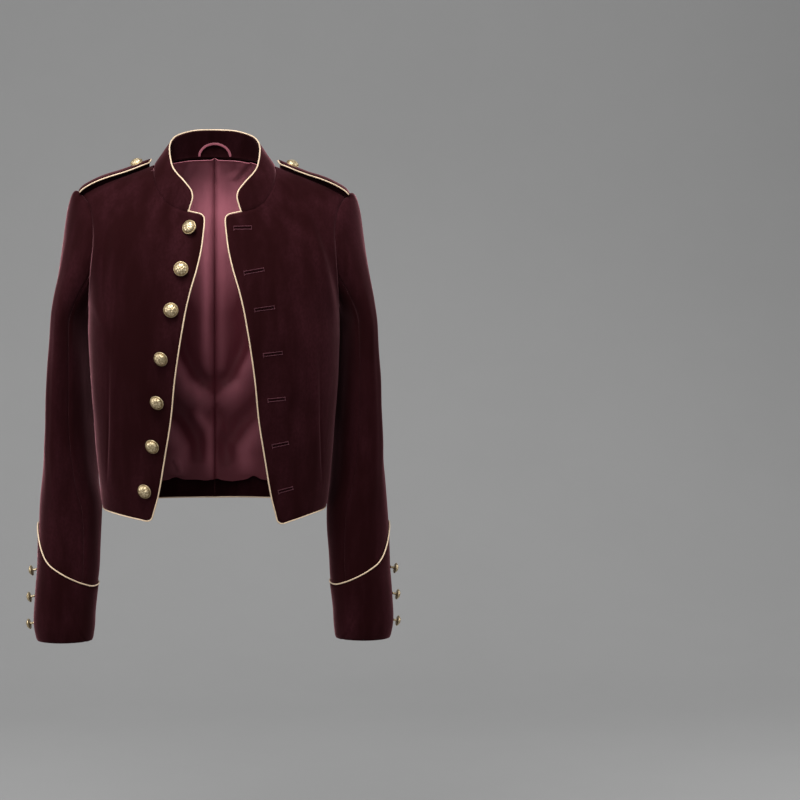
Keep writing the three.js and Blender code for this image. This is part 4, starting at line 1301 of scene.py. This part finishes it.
def collar_relief(point, away):
    share = away["B"] / max(away["B"] + away["T"], 0.01)
    height = 0.9 * math.sin(math.pi * clamp(share))
    return height + settled(point, 30, 0.5, 9) * clamp(away["B"] / 8)


class JACKET_OT_collar(bpy.types.Operator):
    """Make the stand collar"""

    bl_idname = "jacket.collar"
    bl_label = "Collar"
    bl_options = {"REGISTER", "UNDO"}

    def execute(self, context):
        cells = context.scene.jacket_sizes.grid
        rows = dressed(collar_samples(cells),
                       {"L": PIPED, "R": PIPED, "B": COLLAR_SEAM, "T": PIPED}, collar_relief)
        seam = collar_seam(1, cells)[:-1] + collar_seam(-1, cells)[::-1]
        rows = [turned_in(seam, rows[0], COLLAR_TURNED_IN),
                turned_in(seam, rows[0], COLLAR_FOOT), *rows[1:]]
        # The collar's inner face is the half-bright velvet: painted shade
        sheet_piece("velvet_collar", "collar", rows, ("velvet_outside", "velvet_painted_shade"),
                    COLLAR_CLOTH * MM, soften=0.0006)
        return {"FINISHED"}


strap_at = run(STRAP)


def strap_rows(side, cells):
    shares = [mix(-1, 1, k / (4 * cells)) for k in range(4 * cells + 1)]
    points = []
    for number in fine(len(STRAP) - 1, cells):
        x, width, lift = strap_at(number)
        line = []
        for share in shares:
            crown = STRAP_CROWN * (1 - share * share)
            height = crest_at(x) + STRAP_CLOTH + lift - STRAP_CROWN + crown
            line.append(Vector((x * side, share * width / 2, height)))
        points.append(line)
    uprights = list(zip(*points))
    rows = []
    for i, line in enumerate(points):
        row = []
        for k, point in enumerate(line):
            normal = step_at(uprights[k], i).cross(step_at(line, k)).normalized()
            row.append((point, normal if normal.z > 0 else -normal))
        rows.append(row)
    return rows


def shoulder_height(x, y):
    """Height of the shoulder's cloth beside the shoulder line."""
    part, stand_at = ("front", front_at) if y < 0 else ("back", back_at)
    z = crest_at(x)
    power = 2 / BODY_BEND[part]
    stand = stand_at(z) * abs(math.cos(rad(angle_at(x, z, part)))) ** power
    reach = abs(middle_at(z) + (-stand if y < 0 else stand))
    return z - SHOULDER_ROUND[part] * (1 - math.sqrt(1 - clamp(abs(y) / reach) ** 2))


def strap_pad_rows(side, cells):
    """The folded cloth under the strap, which rests on the shoulder."""
    rows = []
    for number in fine(PAD_STEPS, cells):
        x, width, lift = strap_at(PAD_START + number * PAD_STEP)
        half = PAD_WIDTH * width
        across = [mix(-half, half, k / 8) for k in range(9)]
        low = [Vector((x * side, y, shoulder_height(x, y) + PAD_BELOW)) for y in across]
        high = []
        for y in reversed(across):
            crown = STRAP_CROWN * (1 - (2 * y / width) ** 2)
            height = crest_at(x) + lift - STRAP_CROWN + crown + PAD_ABOVE
            high.append(Vector((x * side, y, height)))
        ring = low + high + low[:1]
        middle = sum(ring[:-1], Vector()) / (len(ring) - 1)
        rows.append([(point, (point - middle).normalized()) for point in ring])
    return rows


class JACKET_OT_straps(bpy.types.Operator):
    """Make the shoulder straps"""

    bl_idname = "jacket.straps"
    bl_label = "Shoulder Straps"
    bl_options = {"REGISTER", "UNDO"}

    def execute(self, context):
        cells = context.scene.jacket_sizes.grid
        for side, name in SIDES:
            # The strap's underside and the fold under it are the half-bright velvet: painted
            # shade
            rows = dressed(strap_rows(side, cells),
                           {"L": PIPED, "R": PIPED, "B": FREE, "T": PIPED},
                           lambda point, away: settled(point, 18, 0.4, 2))
            sheet_piece(f"velvet_strap_{name}", f"epaulette_{name}", rows,
                        ("velvet_outside", "velvet_painted_shade"), (STRAP_CLOTH - 0.2) * MM,
                        soften=0.0007)
            pad = tube_object(f"velvet_strap_fold_{name}", strap_pad_rows(side, cells),
                              [material("velvet_painted_shade")])
            settle(pad, "velvet")
        return {"FINISHED"}


# ------------------------------------------------------------------ lining and hanging loop

def lining_depth(x, z):
    """How far the lining stands in from the velvet at a place."""
    depth = LINING_STAND + sum(fold(x, z, line, width, height, LINING_FADE)
                               for line, width, height in LINING_FOLDS)
    return depth - LINING_PLEAT_DEPTH * gauss(x, LINING_PLEAT)


def new_shades(piece):
    """The painted shade that a material reads for how dark each place of a mesh is."""
    return piece.data.attributes.new("painted_shade_and_tarnish", "FLOAT", "POINT").data


def shade_lining(piece):
    """Paints shade into the lining: darker low down, where less light falls, and between its
    folds.
    """
    for vert, shade in zip(piece.data.vertices, new_shades(piece)):
        x, z = vert.co.x / MM, vert.co.z / MM
        low = clamp((SHADE_Z - z) / SHADE_HEIGHT)
        height = lining_depth(x, z) - LINING_STAND
        shade.value = clamp(SHADE_LEAST + SHADE_LOW * low - height / SHADE_FOLD)


def lining_samples(net, side, cells, inset):
    rows = []
    for row in fine(net.rows, cells):
        line = []
        for column in fine(net.columns, cells):
            angle, z = net(column, row)
            if row < 1:
                low, high = net(column, 0), net(column, 1)
                t = (LINING_HEM_Z - low[1]) / (high[1] - low[1])
                angle, z = mix_pair(low, high, mix(t, 1, row))
                x = body_point(angle, z).x * side
                z += (1 - row) * sum(up * gauss(x - at, wide) for at, wide, up in LINING_EDGE)
            point, normal = body_sample(side, angle, z)
            depth = lining_depth(point.x, point.z)
            place = Vector((point.x, point.y, point.z * 0.5)) / RUMPLE_SIZE
            depth += RUMPLE * noise.noise(place)
            line.append((point - normal * (inset + max(depth, 0)), normal))
        rows.append(line)
    return rows


def ribbon_rows(path, half_width, half_cloth):
    """A band that lies flat along Y on a path: rows of samples round its rounded section."""
    rows = []
    for i, point in enumerate(path):
        along = step_at(path, i).normalized()
        wide = Vector((0, 1, 0)).cross(step_at(path, i))
        wide = (wide - along * wide.dot(along)).normalized()
        thick = along.cross(wide).normalized()
        row = []
        for k in range(17):
            turn = 2 * math.pi * k / 16
            c, s = math.cos(turn), math.sin(turn)
            out = (wide * math.copysign(abs(c) ** 0.5, c) * half_width
                   + thick * math.copysign(abs(s) ** 0.5, s) * half_cloth)
            row.append((point + out, out.normalized()))
        rows.append(row)
    return rows


def tube_object(name, rows, materials):
    """A closed tube from rows of samples whose first and last columns coincide."""
    piece = grid_object(name, rows, materials)
    shape = bmesh.new()
    shape.from_mesh(piece.data)
    bmesh.ops.remove_doubles(shape, verts=shape.verts, dist=1e-6)
    rims = [edge for edge in shape.edges if edge.is_boundary]
    bmesh.ops.holes_fill(shape, edges=rims, sides=0)
    bmesh.ops.recalc_face_normals(shape, faces=shape.faces)
    for face in shape.faces:
        face.smooth = True
    shape.to_mesh(piece.data)
    shape.free()
    return piece


class JACKET_OT_lining(bpy.types.Operator):
    """Make the satin lining of the back and the hanging loop"""

    bl_idname = "jacket.lining"
    bl_label = "Lining and Loop"
    bl_options = {"REGISTER", "UNDO"}

    def execute(self, context):
        sizes = context.scene.jacket_sizes
        inset = sizes.velvet / MM + LINING_GAP
        for side, name in SIDES:
            for part, net in (("back", BACK), ("side", SIDE_BACK)):
                rows = dressed(lining_samples(net, side, sizes.grid, inset),
                               {border: FREE for border in "LRBT"})
                piece = sheet_piece(f"satin_{part}_{name}", f"lining_{part}_{name}", rows,
                                    ("satin_lining",), sizes.lining, "lining_satin",
                                    inner=0, soften=0.0002)
                shade_lining(piece)
        path = []
        for i in range(LOOP_STEPS + 1):
            turn = math.pi * i / LOOP_STEPS
            path.append(Vector((
                -LOOP_HALF * math.cos(turn), LOOP_Y - LOOP_SWEEP * abs(math.cos(turn)) ** 2,
                mix(LOOP_FOOT, LOOP_PEAK, math.sin(turn)))))
        loop = tube_object("satin_loop", ribbon_rows(path, *LOOP_BAND),
                           [material("satin_lining")])
        # The loop's satin gets an even painted shade
        for shade in new_shades(loop):
            shade.value = LOOP_SHADE
        settle(loop, "lining_satin", "hanger_loop")
        return {"FINISHED"}


# ------------------------------------------------------------------ piping

CORD_GAP, STRAP_CORD_GAP = 0.6, 0.7


def piping_line(border, inside, cloth, gap=CORD_GAP):
    """The line of a cord just outside a border, halfway through the cloth."""
    radius = bpy.context.scene.jacket_sizes.piping / MM
    places = [sample[0] for sample in border]
    line = []
    for i, sample in enumerate(border):
        along = step_at(places, i).normalized()
        out = sample[0] - inside[i][0]
        out = (out - along * out.dot(along)).normalized()
        line.append(moved(sample, -cloth / 2) + out * (radius + gap))
    return line


def evened(points, step=1.3, passes=3):
    """The line with even steps and its corners slightly rounded."""
    total = lengths(points)
    count = max(int(total[-1] / step), 4)
    out, k = [], 0
    for i in range(count + 1):
        at = total[-1] * i / count
        while k < len(total) - 2 and total[k + 1] < at:
            k += 1
        span = total[k + 1] - total[k]
        out.append(points[k].lerp(points[k + 1], clamp((at - total[k]) / max(span, 1e-9))))
    for _ in range(passes):
        out = [out[0]] + [(a + b * 2 + c) / 4 for a, b, c in zip(out, out[1:], out[2:])] \
            + [out[-1]]
    return out


def cord_piece(name, points, *nodes, sides=10):
    """A round cord along a line of points."""
    radius = bpy.context.scene.jacket_sizes.piping / MM
    points = evened(points)
    last = len(points) - 1
    across = Vector((0.3, 0.5, 0.8))
    rows = []
    for i, point in enumerate(points):
        along = step_at(points, i).normalized()
        across = (across - along * across.dot(along)).normalized()
        other = along.cross(across)
        size = radius * (0.55 if i in (0, last) else 0.88 if i in (1, last - 1) else 1)
        row = []
        for k in range(sides + 1):
            turn = 2 * math.pi * k / sides
            out = across * math.cos(turn) + other * math.sin(turn)
            row.append((point + out * size, out))
        rows.append(row)
    piece = tube_object(name, rows, [material("gold_piping")])
    return settle(piece, "gold_cord", *nodes)


def borders_of(rows):
    return {
        "bottom": (rows[0], rows[1]), "top": (rows[-1], rows[-2]),
        "left": ([r[0] for r in rows], [r[1] for r in rows]),
        "right": ([r[-1] for r in rows], [r[-2] for r in rows]),
    }


class JACKET_OT_piping(bpy.types.Operator):
    """Make the corded piping along the edges"""

    bl_idname = "jacket.piping"
    bl_label = "Piping"
    bl_options = {"REGISTER", "UNDO"}

    def execute(self, context):
        sizes = context.scene.jacket_sizes
        cells, cloth = sizes.grid, sizes.velvet / MM
        hems = {}
        for side, name in SIDES:
            edge = borders_of(net_samples(FRONT, side, cells, FRONT_CORNERS))
            top, below = edge["top"]
            notch = piping_line(top[:cells + 1], below[:cells + 1], cloth)[::-1]
            line = piping_line(*edge["left"], cloth)[::-1]
            hem = piping_line(*edge["bottom"], cloth)
            cord_piece(f"cord_front_{name}", notch[:-1] + line + hem[1:],
                       f"piping_front_{name}")
            hems[side] = [
                piping_line(*borders_of(net_samples(net, side, cells))["bottom"], cloth)
                for net in (SIDE_BACK, BACK)]
            edge = borders_of(cuff_rows(side, cells))
            vent = piping_line(*edge["left"], cloth)
            top = piping_line(*edge["top"], cloth)
            top = [p + s[1] * cloth / 2 for p, s in zip(top, edge["top"][0])]
            cord_piece(f"cord_cuff_{name}", vent[:-1] + top[:-2], f"piping_cuff_{name}")
            edge = borders_of(strap_rows(side, cells))
            first, across, back = (piping_line(*edge[border], STRAP_CLOTH, STRAP_CORD_GAP)
                                   for border in ("left", "top", "right"))
            cord_piece(f"cord_strap_{name}",
                       first[:-1] + across[cells:-cells] + back[::-1][1:],
                       f"piping_epaulette_{name}")
        (left_side, left_back), (right_side, right_back) = hems[1], hems[-1]
        line = left_side[::-1] + left_back[::-1][1:] + right_back[1:] + right_side[1:]
        cord_piece("cord_hem_back", line, "piping_hem_back")
        edge = borders_of(collar_samples(cells))
        start = piping_line(*edge["left"], COLLAR_CLOTH)
        top = piping_line(*edge["top"], COLLAR_CLOTH)
        finish = piping_line(*edge["right"], COLLAR_CLOTH)[::-1]
        cord_piece("cord_collar", start[:-1] + top + finish[1:], "piping_collar")
        return {"FINISHED"}


# ------------------------------------------------------------------ buttons and buttonholes

# A button's profile: out and up as shares of its radius, but up of the shank from -1 to 0
BUTTON_PROFILE = (
    (0.0, -1), (0.26, -1), (0.2, -0.5), (0.24, -0.06), (0.6, 0.0), (0.9, 0.03), (0.98, 0.08),
    (1.0, 0.16), (0.98, 0.24), (0.93, 0.27), (0.885, 0.255), (0.84, 0.29), (0.785, 0.36),
    (0.72, 0.43), (0.64, 0.495), (0.55, 0.55), (0.46, 0.59), (0.37, 0.62), (0.28, 0.64),
    (0.18, 0.655), (0.09, 0.66), (0.0, 0.66),
)
PETALS = 8


def button_relief(share, turn, seed):
    """Height of a plain rosette among small grains on the dome, as a share of the radius."""
    if share > 0.82:
        return 0
    petals = 0.5 + 0.5 * math.cos(PETALS * turn)
    outer = gauss(share - 0.58, 0.13) * petals
    inner = gauss(share - 0.3, 0.1) * (0.5 + 0.5 * math.cos(PETALS * turn + math.pi))
    spot = Vector((share * math.cos(turn), share * math.sin(turn), seed)) * 7
    grain = noise.noise(spot) + 0.6 * noise.noise(spot * 2.1)
    return 0.05 * outer + 0.045 * inner + 0.04 * gauss(share, 0.09) + 0.055 * grain


def button_piece(name, size, seat, facing, *nodes, turned=0.0):
    diameter, shank = size
    radius = diameter / 2
    shape = bmesh.new()
    profile = []
    for out, up in BUTTON_PROFILE:
        height = shank * (1 + up) if out <= 0.26 and up <= 0 else shank + up * radius
        profile.append(shape.verts.new((out * radius, 0, height)))
    edges = [shape.edges.new(pair) for pair in zip(profile, profile[1:])]
    bmesh.ops.spin(
        shape, geom=[*profile, *edges], cent=(0, 0, 0), axis=(0, 0, 1),
        angle=2 * math.pi, steps=56, use_merge=True, use_normal_flip=False)
    bmesh.ops.remove_doubles(shape, verts=shape.verts, dist=1e-4)
    painted_shade_and_tarnish = shape.verts.layers.float.new("painted_shade_and_tarnish")
    turn_to = Vector((0, 0, 1)).rotation_difference(facing).to_matrix()
    for vert in shape.verts:
        share = math.hypot(vert.co.x, vert.co.y) / radius
        turn = math.atan2(vert.co.y, vert.co.x) + turned
        if vert.co.z > shank + 0.2 * radius:
            rise = button_relief(share, turn, turned)
            vert.co.z += radius * rise
            vert[painted_shade_and_tarnish] = clamp(0.62 - rise * 15 + 0.7 * gauss(share - 0.87, 0.035))
        else:
            vert[painted_shade_and_tarnish] = 0.35
    for vert in shape.verts:
        vert.co = (turn_to @ vert.co + seat) * MM
    bmesh.ops.recalc_face_normals(shape, faces=shape.faces)
    piece = mesh_object(name, shape, [material("antique_gold")])
    return settle(piece, "old_gold", *nodes)


class JACKET_OT_buttons(bpy.types.Operator):
    """Make the domed metal buttons on their shanks"""

    bl_idname = "jacket.buttons"
    bl_label = "Buttons"
    bl_options = {"REGISTER", "UNDO"}

    def execute(self, context):
        for i, (x, z) in enumerate(FRONT_BUTTONS):
            point, normal = body_sample(-1, angle_at(x, z, "front"), z)
            aside, down = FRONT_BUTTON_TURNS[i]
            facing = normal + Vector((-math.tan(rad(aside)), 0, -math.tan(rad(down))))
            button_piece(f"gold_button_front_{i + 1}", BUTTON_SIZES["front"],
                         point + normal * FRONT_BUTTON_SEAT, facing.normalized(),
                         f"button_front_{i + 1}", turned=i * 0.7)
        for side, name in SIDES:
            x = SHOULDER_BUTTON_X
            slope = (crest_at(x + 1) - crest_at(x - 1)) / 2
            facing = Vector((-slope * side, -SHOULDER_BUTTON_TILT, 1)).normalized()
            lift = through([(row[0], row[2]) for row in STRAP])(x)
            seat = Vector((x * side, 0, crest_at(x) + STRAP_CLOTH + lift))
            seat += facing * SHOULDER_BUTTON_SEAT
            button_piece(f"gold_button_shoulder_{name}", BUTTON_SIZES["shoulder"], seat,
                         facing, f"button_shoulder_{name}", turned=side)
            for i, (z, gap) in enumerate(CUFF_BUTTONS):
                point, normal = sleeve_sample(side, CUFF_BUTTON_ANGLE, z)
                seat = point + normal * (CUFF_LIFT + gap)
                droop = rad(CUFF_BUTTON_DROOP)
                facing = normal * math.cos(droop)
                facing.z = -math.sin(droop)
                button_piece(f"gold_button_cuff_{name}_{i + 1}", BUTTON_SIZES["cuff"], seat,
                             facing.normalized(), f"button_cuff_{name}_{i + 1}", turned=i)
        return {"FINISHED"}


def front_surface(side, x, z):
    """The dressed surface of a front at a place."""
    point, normal = body_sample(side, angle_at(x, z, "front"), z)
    away = {"L": abs(x) - front_edge_at(z), "T": 200}
    return point + normal * front_relief(side)(point, away), normal


# The slits' threads are a painted shadow of the cut
THREAD, SLIT_SHADOW = 0.0003, 0.00045                  # half widths in metres


def stitch(shape, start, end, radius, material_index):
    """One stitch: a short six-sided thread with capped ends."""
    along = end - start
    made = bmesh.ops.create_cone(shape, cap_ends=True, segments=6, radius1=radius,
                                 radius2=radius, depth=along.length)["verts"]
    faces = {face for vert in made for face in vert.link_faces}
    for face in faces:
        face.material_index = material_index
    turn = Vector((0, 0, 1)).rotation_difference(along.normalized()).to_matrix().to_4x4()
    bmesh.ops.transform(shape, matrix=Matrix.Translation((start + end) / 2) @ turn,
                        verts=made)


class JACKET_OT_buttonholes(bpy.types.Operator):
    """Sew the buttonholes of the left front"""

    bl_idname = "jacket.buttonholes"
    bl_label = "Buttonholes"
    bl_options = {"REGISTER", "UNDO"}

    def execute(self, context):
        shape = bmesh.new()
        for (x0, z0), (x1, z1) in BUTTONHOLES:
            self.sew(shape, x0, z0, x1, z1)
        # Plum thread, and the half-bright velvet of the slits' painted shadow
        piece = mesh_object("thread_buttonholes", shape,
                            [material("plum_thread"), material("velvet_painted_shade")])
        settle(piece, "velvet")
        return {"FINISHED"}

    def sew(self, shape, x0, z0, x1, z1):
        long = math.hypot(x1 - x0, z1 - z0)
        ax, az = (x1 - x0) / long, (z1 - z0) / long

        def at(u, v, lift=0.25):
            point, normal = front_surface(1, x0 + ax * u - az * v, z0 + az * u + ax * v)
            return (point + normal * lift) * MM

        step, half = 0.7, 2.0
        for i in range(int(long / step) - 1):
            u = i * step
            for v in (-half, half):
                stitch(shape, at(u, v - 0.42), at(u + 0.12, v + 0.42), THREAD, 0)
        for u in (-0.3, long - 1.4):
            for k in range(8 if u < 0 else 6):
                v = mix(-half - (1.3 if u < 0 else 0.3), half + 0.3, k / (7 if u < 0 else 5))
                stitch(shape, at(u - 0.45, v), at(u + 0.45, v), THREAD, 0)
        # The slit: three dark lines of half-bright velvet, a painted shadow inside the cut
        count = 12
        for i in range(count):
            u = mix(0.8, long - 0.8, i / count)
            v = mix(0.8, long - 0.8, (i + 1) / count)
            for aside in (-0.7, 0, 0.7):
                stitch(shape, at(u, aside, 0.05), at(v, aside, 0.05), SLIT_SHADOW, 1)


# ------------------------------------------------------------------ stage

CAMERA_AT = Vector((0, -3.0, 0.051))
CAMERA_TO = Vector((0.2583, 0, -0.326))
CAMERA_LENS, CAMERA_ROLL = 97.55, 0.617
# The backdrop in metres: front end, start and radius of its sweep, top, half width
FLOOR_END, SWEEP_START, SWEEP, WALL_TOP, FLOOR_HALF = -7.0, 1.6, 1.4, 6.0, 8


class JACKET_OT_stage(bpy.types.Operator):
    """Set the camera, the pale floor and the soft lights"""

    bl_idname = "jacket.stage"
    bl_label = "Camera, Floor and Lights"
    bl_options = {"REGISTER", "UNDO"}

    def execute(self, context):
        self.camera(context)
        self.floor(context)
        self.lights(context)
        return {"FINISHED"}

    def camera(self, context):
        data = bpy.data.cameras.new("photo_view")
        data.lens, data.sensor_width = CAMERA_LENS, 36
        data.clip_end = 60
        camera = bpy.data.objects.new("photo_view", data)
        context.scene.collection.objects.link(camera)
        ahead = (CAMERA_TO - CAMERA_AT).normalized()
        right = ahead.cross(Vector((0, 0, 1))).normalized()
        up = right.cross(ahead)
        roll = rad(CAMERA_ROLL)
        across = right * math.cos(roll) + up * math.sin(roll)
        upward = up * math.cos(roll) - right * math.sin(roll)
        turn = Matrix((across, upward, -ahead)).transposed().to_4x4()
        camera.matrix_world = Matrix.Translation(CAMERA_AT) @ turn
        context.scene.camera = camera

    def floor(self, context):
        """A floor that sweeps up into a backdrop behind the jacket."""
        stage = context.scene.jacket_stage
        low = CAD_BOX[0][2] - stage.floor_drop
        profile = [(FLOOR_END, 0.0), (SWEEP_START, 0.0)]
        for i in range(1, 13):
            turn = math.pi / 2 * i / 12
            profile.append((SWEEP_START + SWEEP * math.sin(turn),
                            SWEEP - SWEEP * math.cos(turn)))
        profile.append((SWEEP_START + SWEEP, WALL_TOP))
        shape = bmesh.new()
        verts = [shape.verts.new((-FLOOR_HALF, y, low + z)) for y, z in profile]
        edges = [shape.edges.new(pair) for pair in zip(verts, verts[1:])]
        made = bmesh.ops.extrude_edge_only(shape, edges=edges)["geom"]
        bmesh.ops.translate(shape, vec=(2 * FLOOR_HALF, 0, 0),
                            verts=[v for v in made if isinstance(v, bmesh.types.BMVert)])
        bmesh.ops.recalc_face_normals(shape, faces=shape.faces)
        finish = Finish("backdrop_paper")
        grain = finish.mottle(finish.place, 3)
        base = tuple(stage.floor)
        finish.use("Base Color", finish.blend(grain, base, tuple(c * 0.985 for c in base)))
        finish.constants(Roughness=0.95, Specular_IOR_Level=0.1)
        mesh_object("floor_backdrop", shape, [finish.material])

    def lights(self, context):
        stage = context.scene.jacket_stage
        world = bpy.data.worlds.new("studio")
        world.use_nodes = True
        sky = world.node_tree.nodes["Background"]
        sky.inputs["Color"].default_value = (0.8, 0.8, 0.8, 1)
        sky.inputs["Strength"].default_value = 0.55
        context.scene.world = world
        self.light("key", (-0.8, -1.9, 1.2), (0, 0, -0.25), 1.5, stage.key_power)
        self.light("opening", (-0.16, -0.62, 0.95), (-0.01, 0.07, -0.08), 0.5,
                   stage.opening_power)
        self.light("behind", (0.7, 2.2, 1.1), (0, 0, -0.3), 1.4, stage.back_power)
        self.light("side_left", (-2.4, 0.1, 0.2), (0, 0, -0.35), 1.8, stage.side_power)
        self.light("side_right", (2.4, 0.1, 0.2), (0, 0, -0.35), 1.8, stage.side_power)
        context.scene.view_settings.view_transform = "Standard"

    def light(self, name, at, to, size, power):
        data = bpy.data.lights.new(name, "AREA")
        data.shape, data.size, data.energy = "SQUARE", size, power
        lamp = bpy.data.objects.new(name, data)
        lamp.location = at
        lamp.rotation_euler = (Vector(to) - Vector(at)).to_track_quat("-Z", "Y").to_euler()
        bpy.context.scene.collection.objects.link(lamp)


# ------------------------------------------------------------------ add-on parts

OPERATORS = (
    JACKET_OT_stage, JACKET_OT_body, JACKET_OT_sleeves, JACKET_OT_collar, JACKET_OT_straps,
    JACKET_OT_lining, JACKET_OT_piping, JACKET_OT_buttons, JACKET_OT_buttonholes,
)


class JACKET_PT_sidebar(bpy.types.Panel):
    """Jacket"""

    bl_idname = "JACKET_PT_sidebar"
    bl_label = "Velvet Jacket"
    bl_space_type = "VIEW_3D"
    bl_region_type = "UI"
    bl_category = "Jacket"

    def draw(self, context):
        layout = self.layout
        for group in ("jacket_sizes", "jacket_colours", "jacket_stage"):
            box = layout.box()
            owner = getattr(context.scene, group)
            for name in owner.__annotations__:
                box.prop(owner, name)
        for operator in OPERATORS:
            layout.operator(operator.bl_idname)


GROUPS = {"jacket_sizes": JacketSizes, "jacket_colours": JacketColours,
          "jacket_stage": JacketStage}
CLASSES = (*GROUPS.values(), *OPERATORS, JACKET_PT_sidebar)


def register():
    for cls in CLASSES:
        bpy.utils.register_class(cls)
    for name, group in GROUPS.items():
        setattr(bpy.types.Scene, name, bpy.props.PointerProperty(type=group))


def unregister():
    for name in GROUPS:
        delattr(bpy.types.Scene, name)
    for cls in reversed(CLASSES):
        bpy.utils.unregister_class(cls)


def main():
    register()
    bpy.ops.jacket.stage()
    bpy.ops.jacket.body()
    bpy.ops.jacket.sleeves()
    bpy.ops.jacket.collar()
    bpy.ops.jacket.straps()
    bpy.ops.jacket.lining()
    bpy.ops.jacket.piping()
    bpy.ops.jacket.buttons()
    bpy.ops.jacket.buttonholes()


if __name__ == "__main__":
    main()
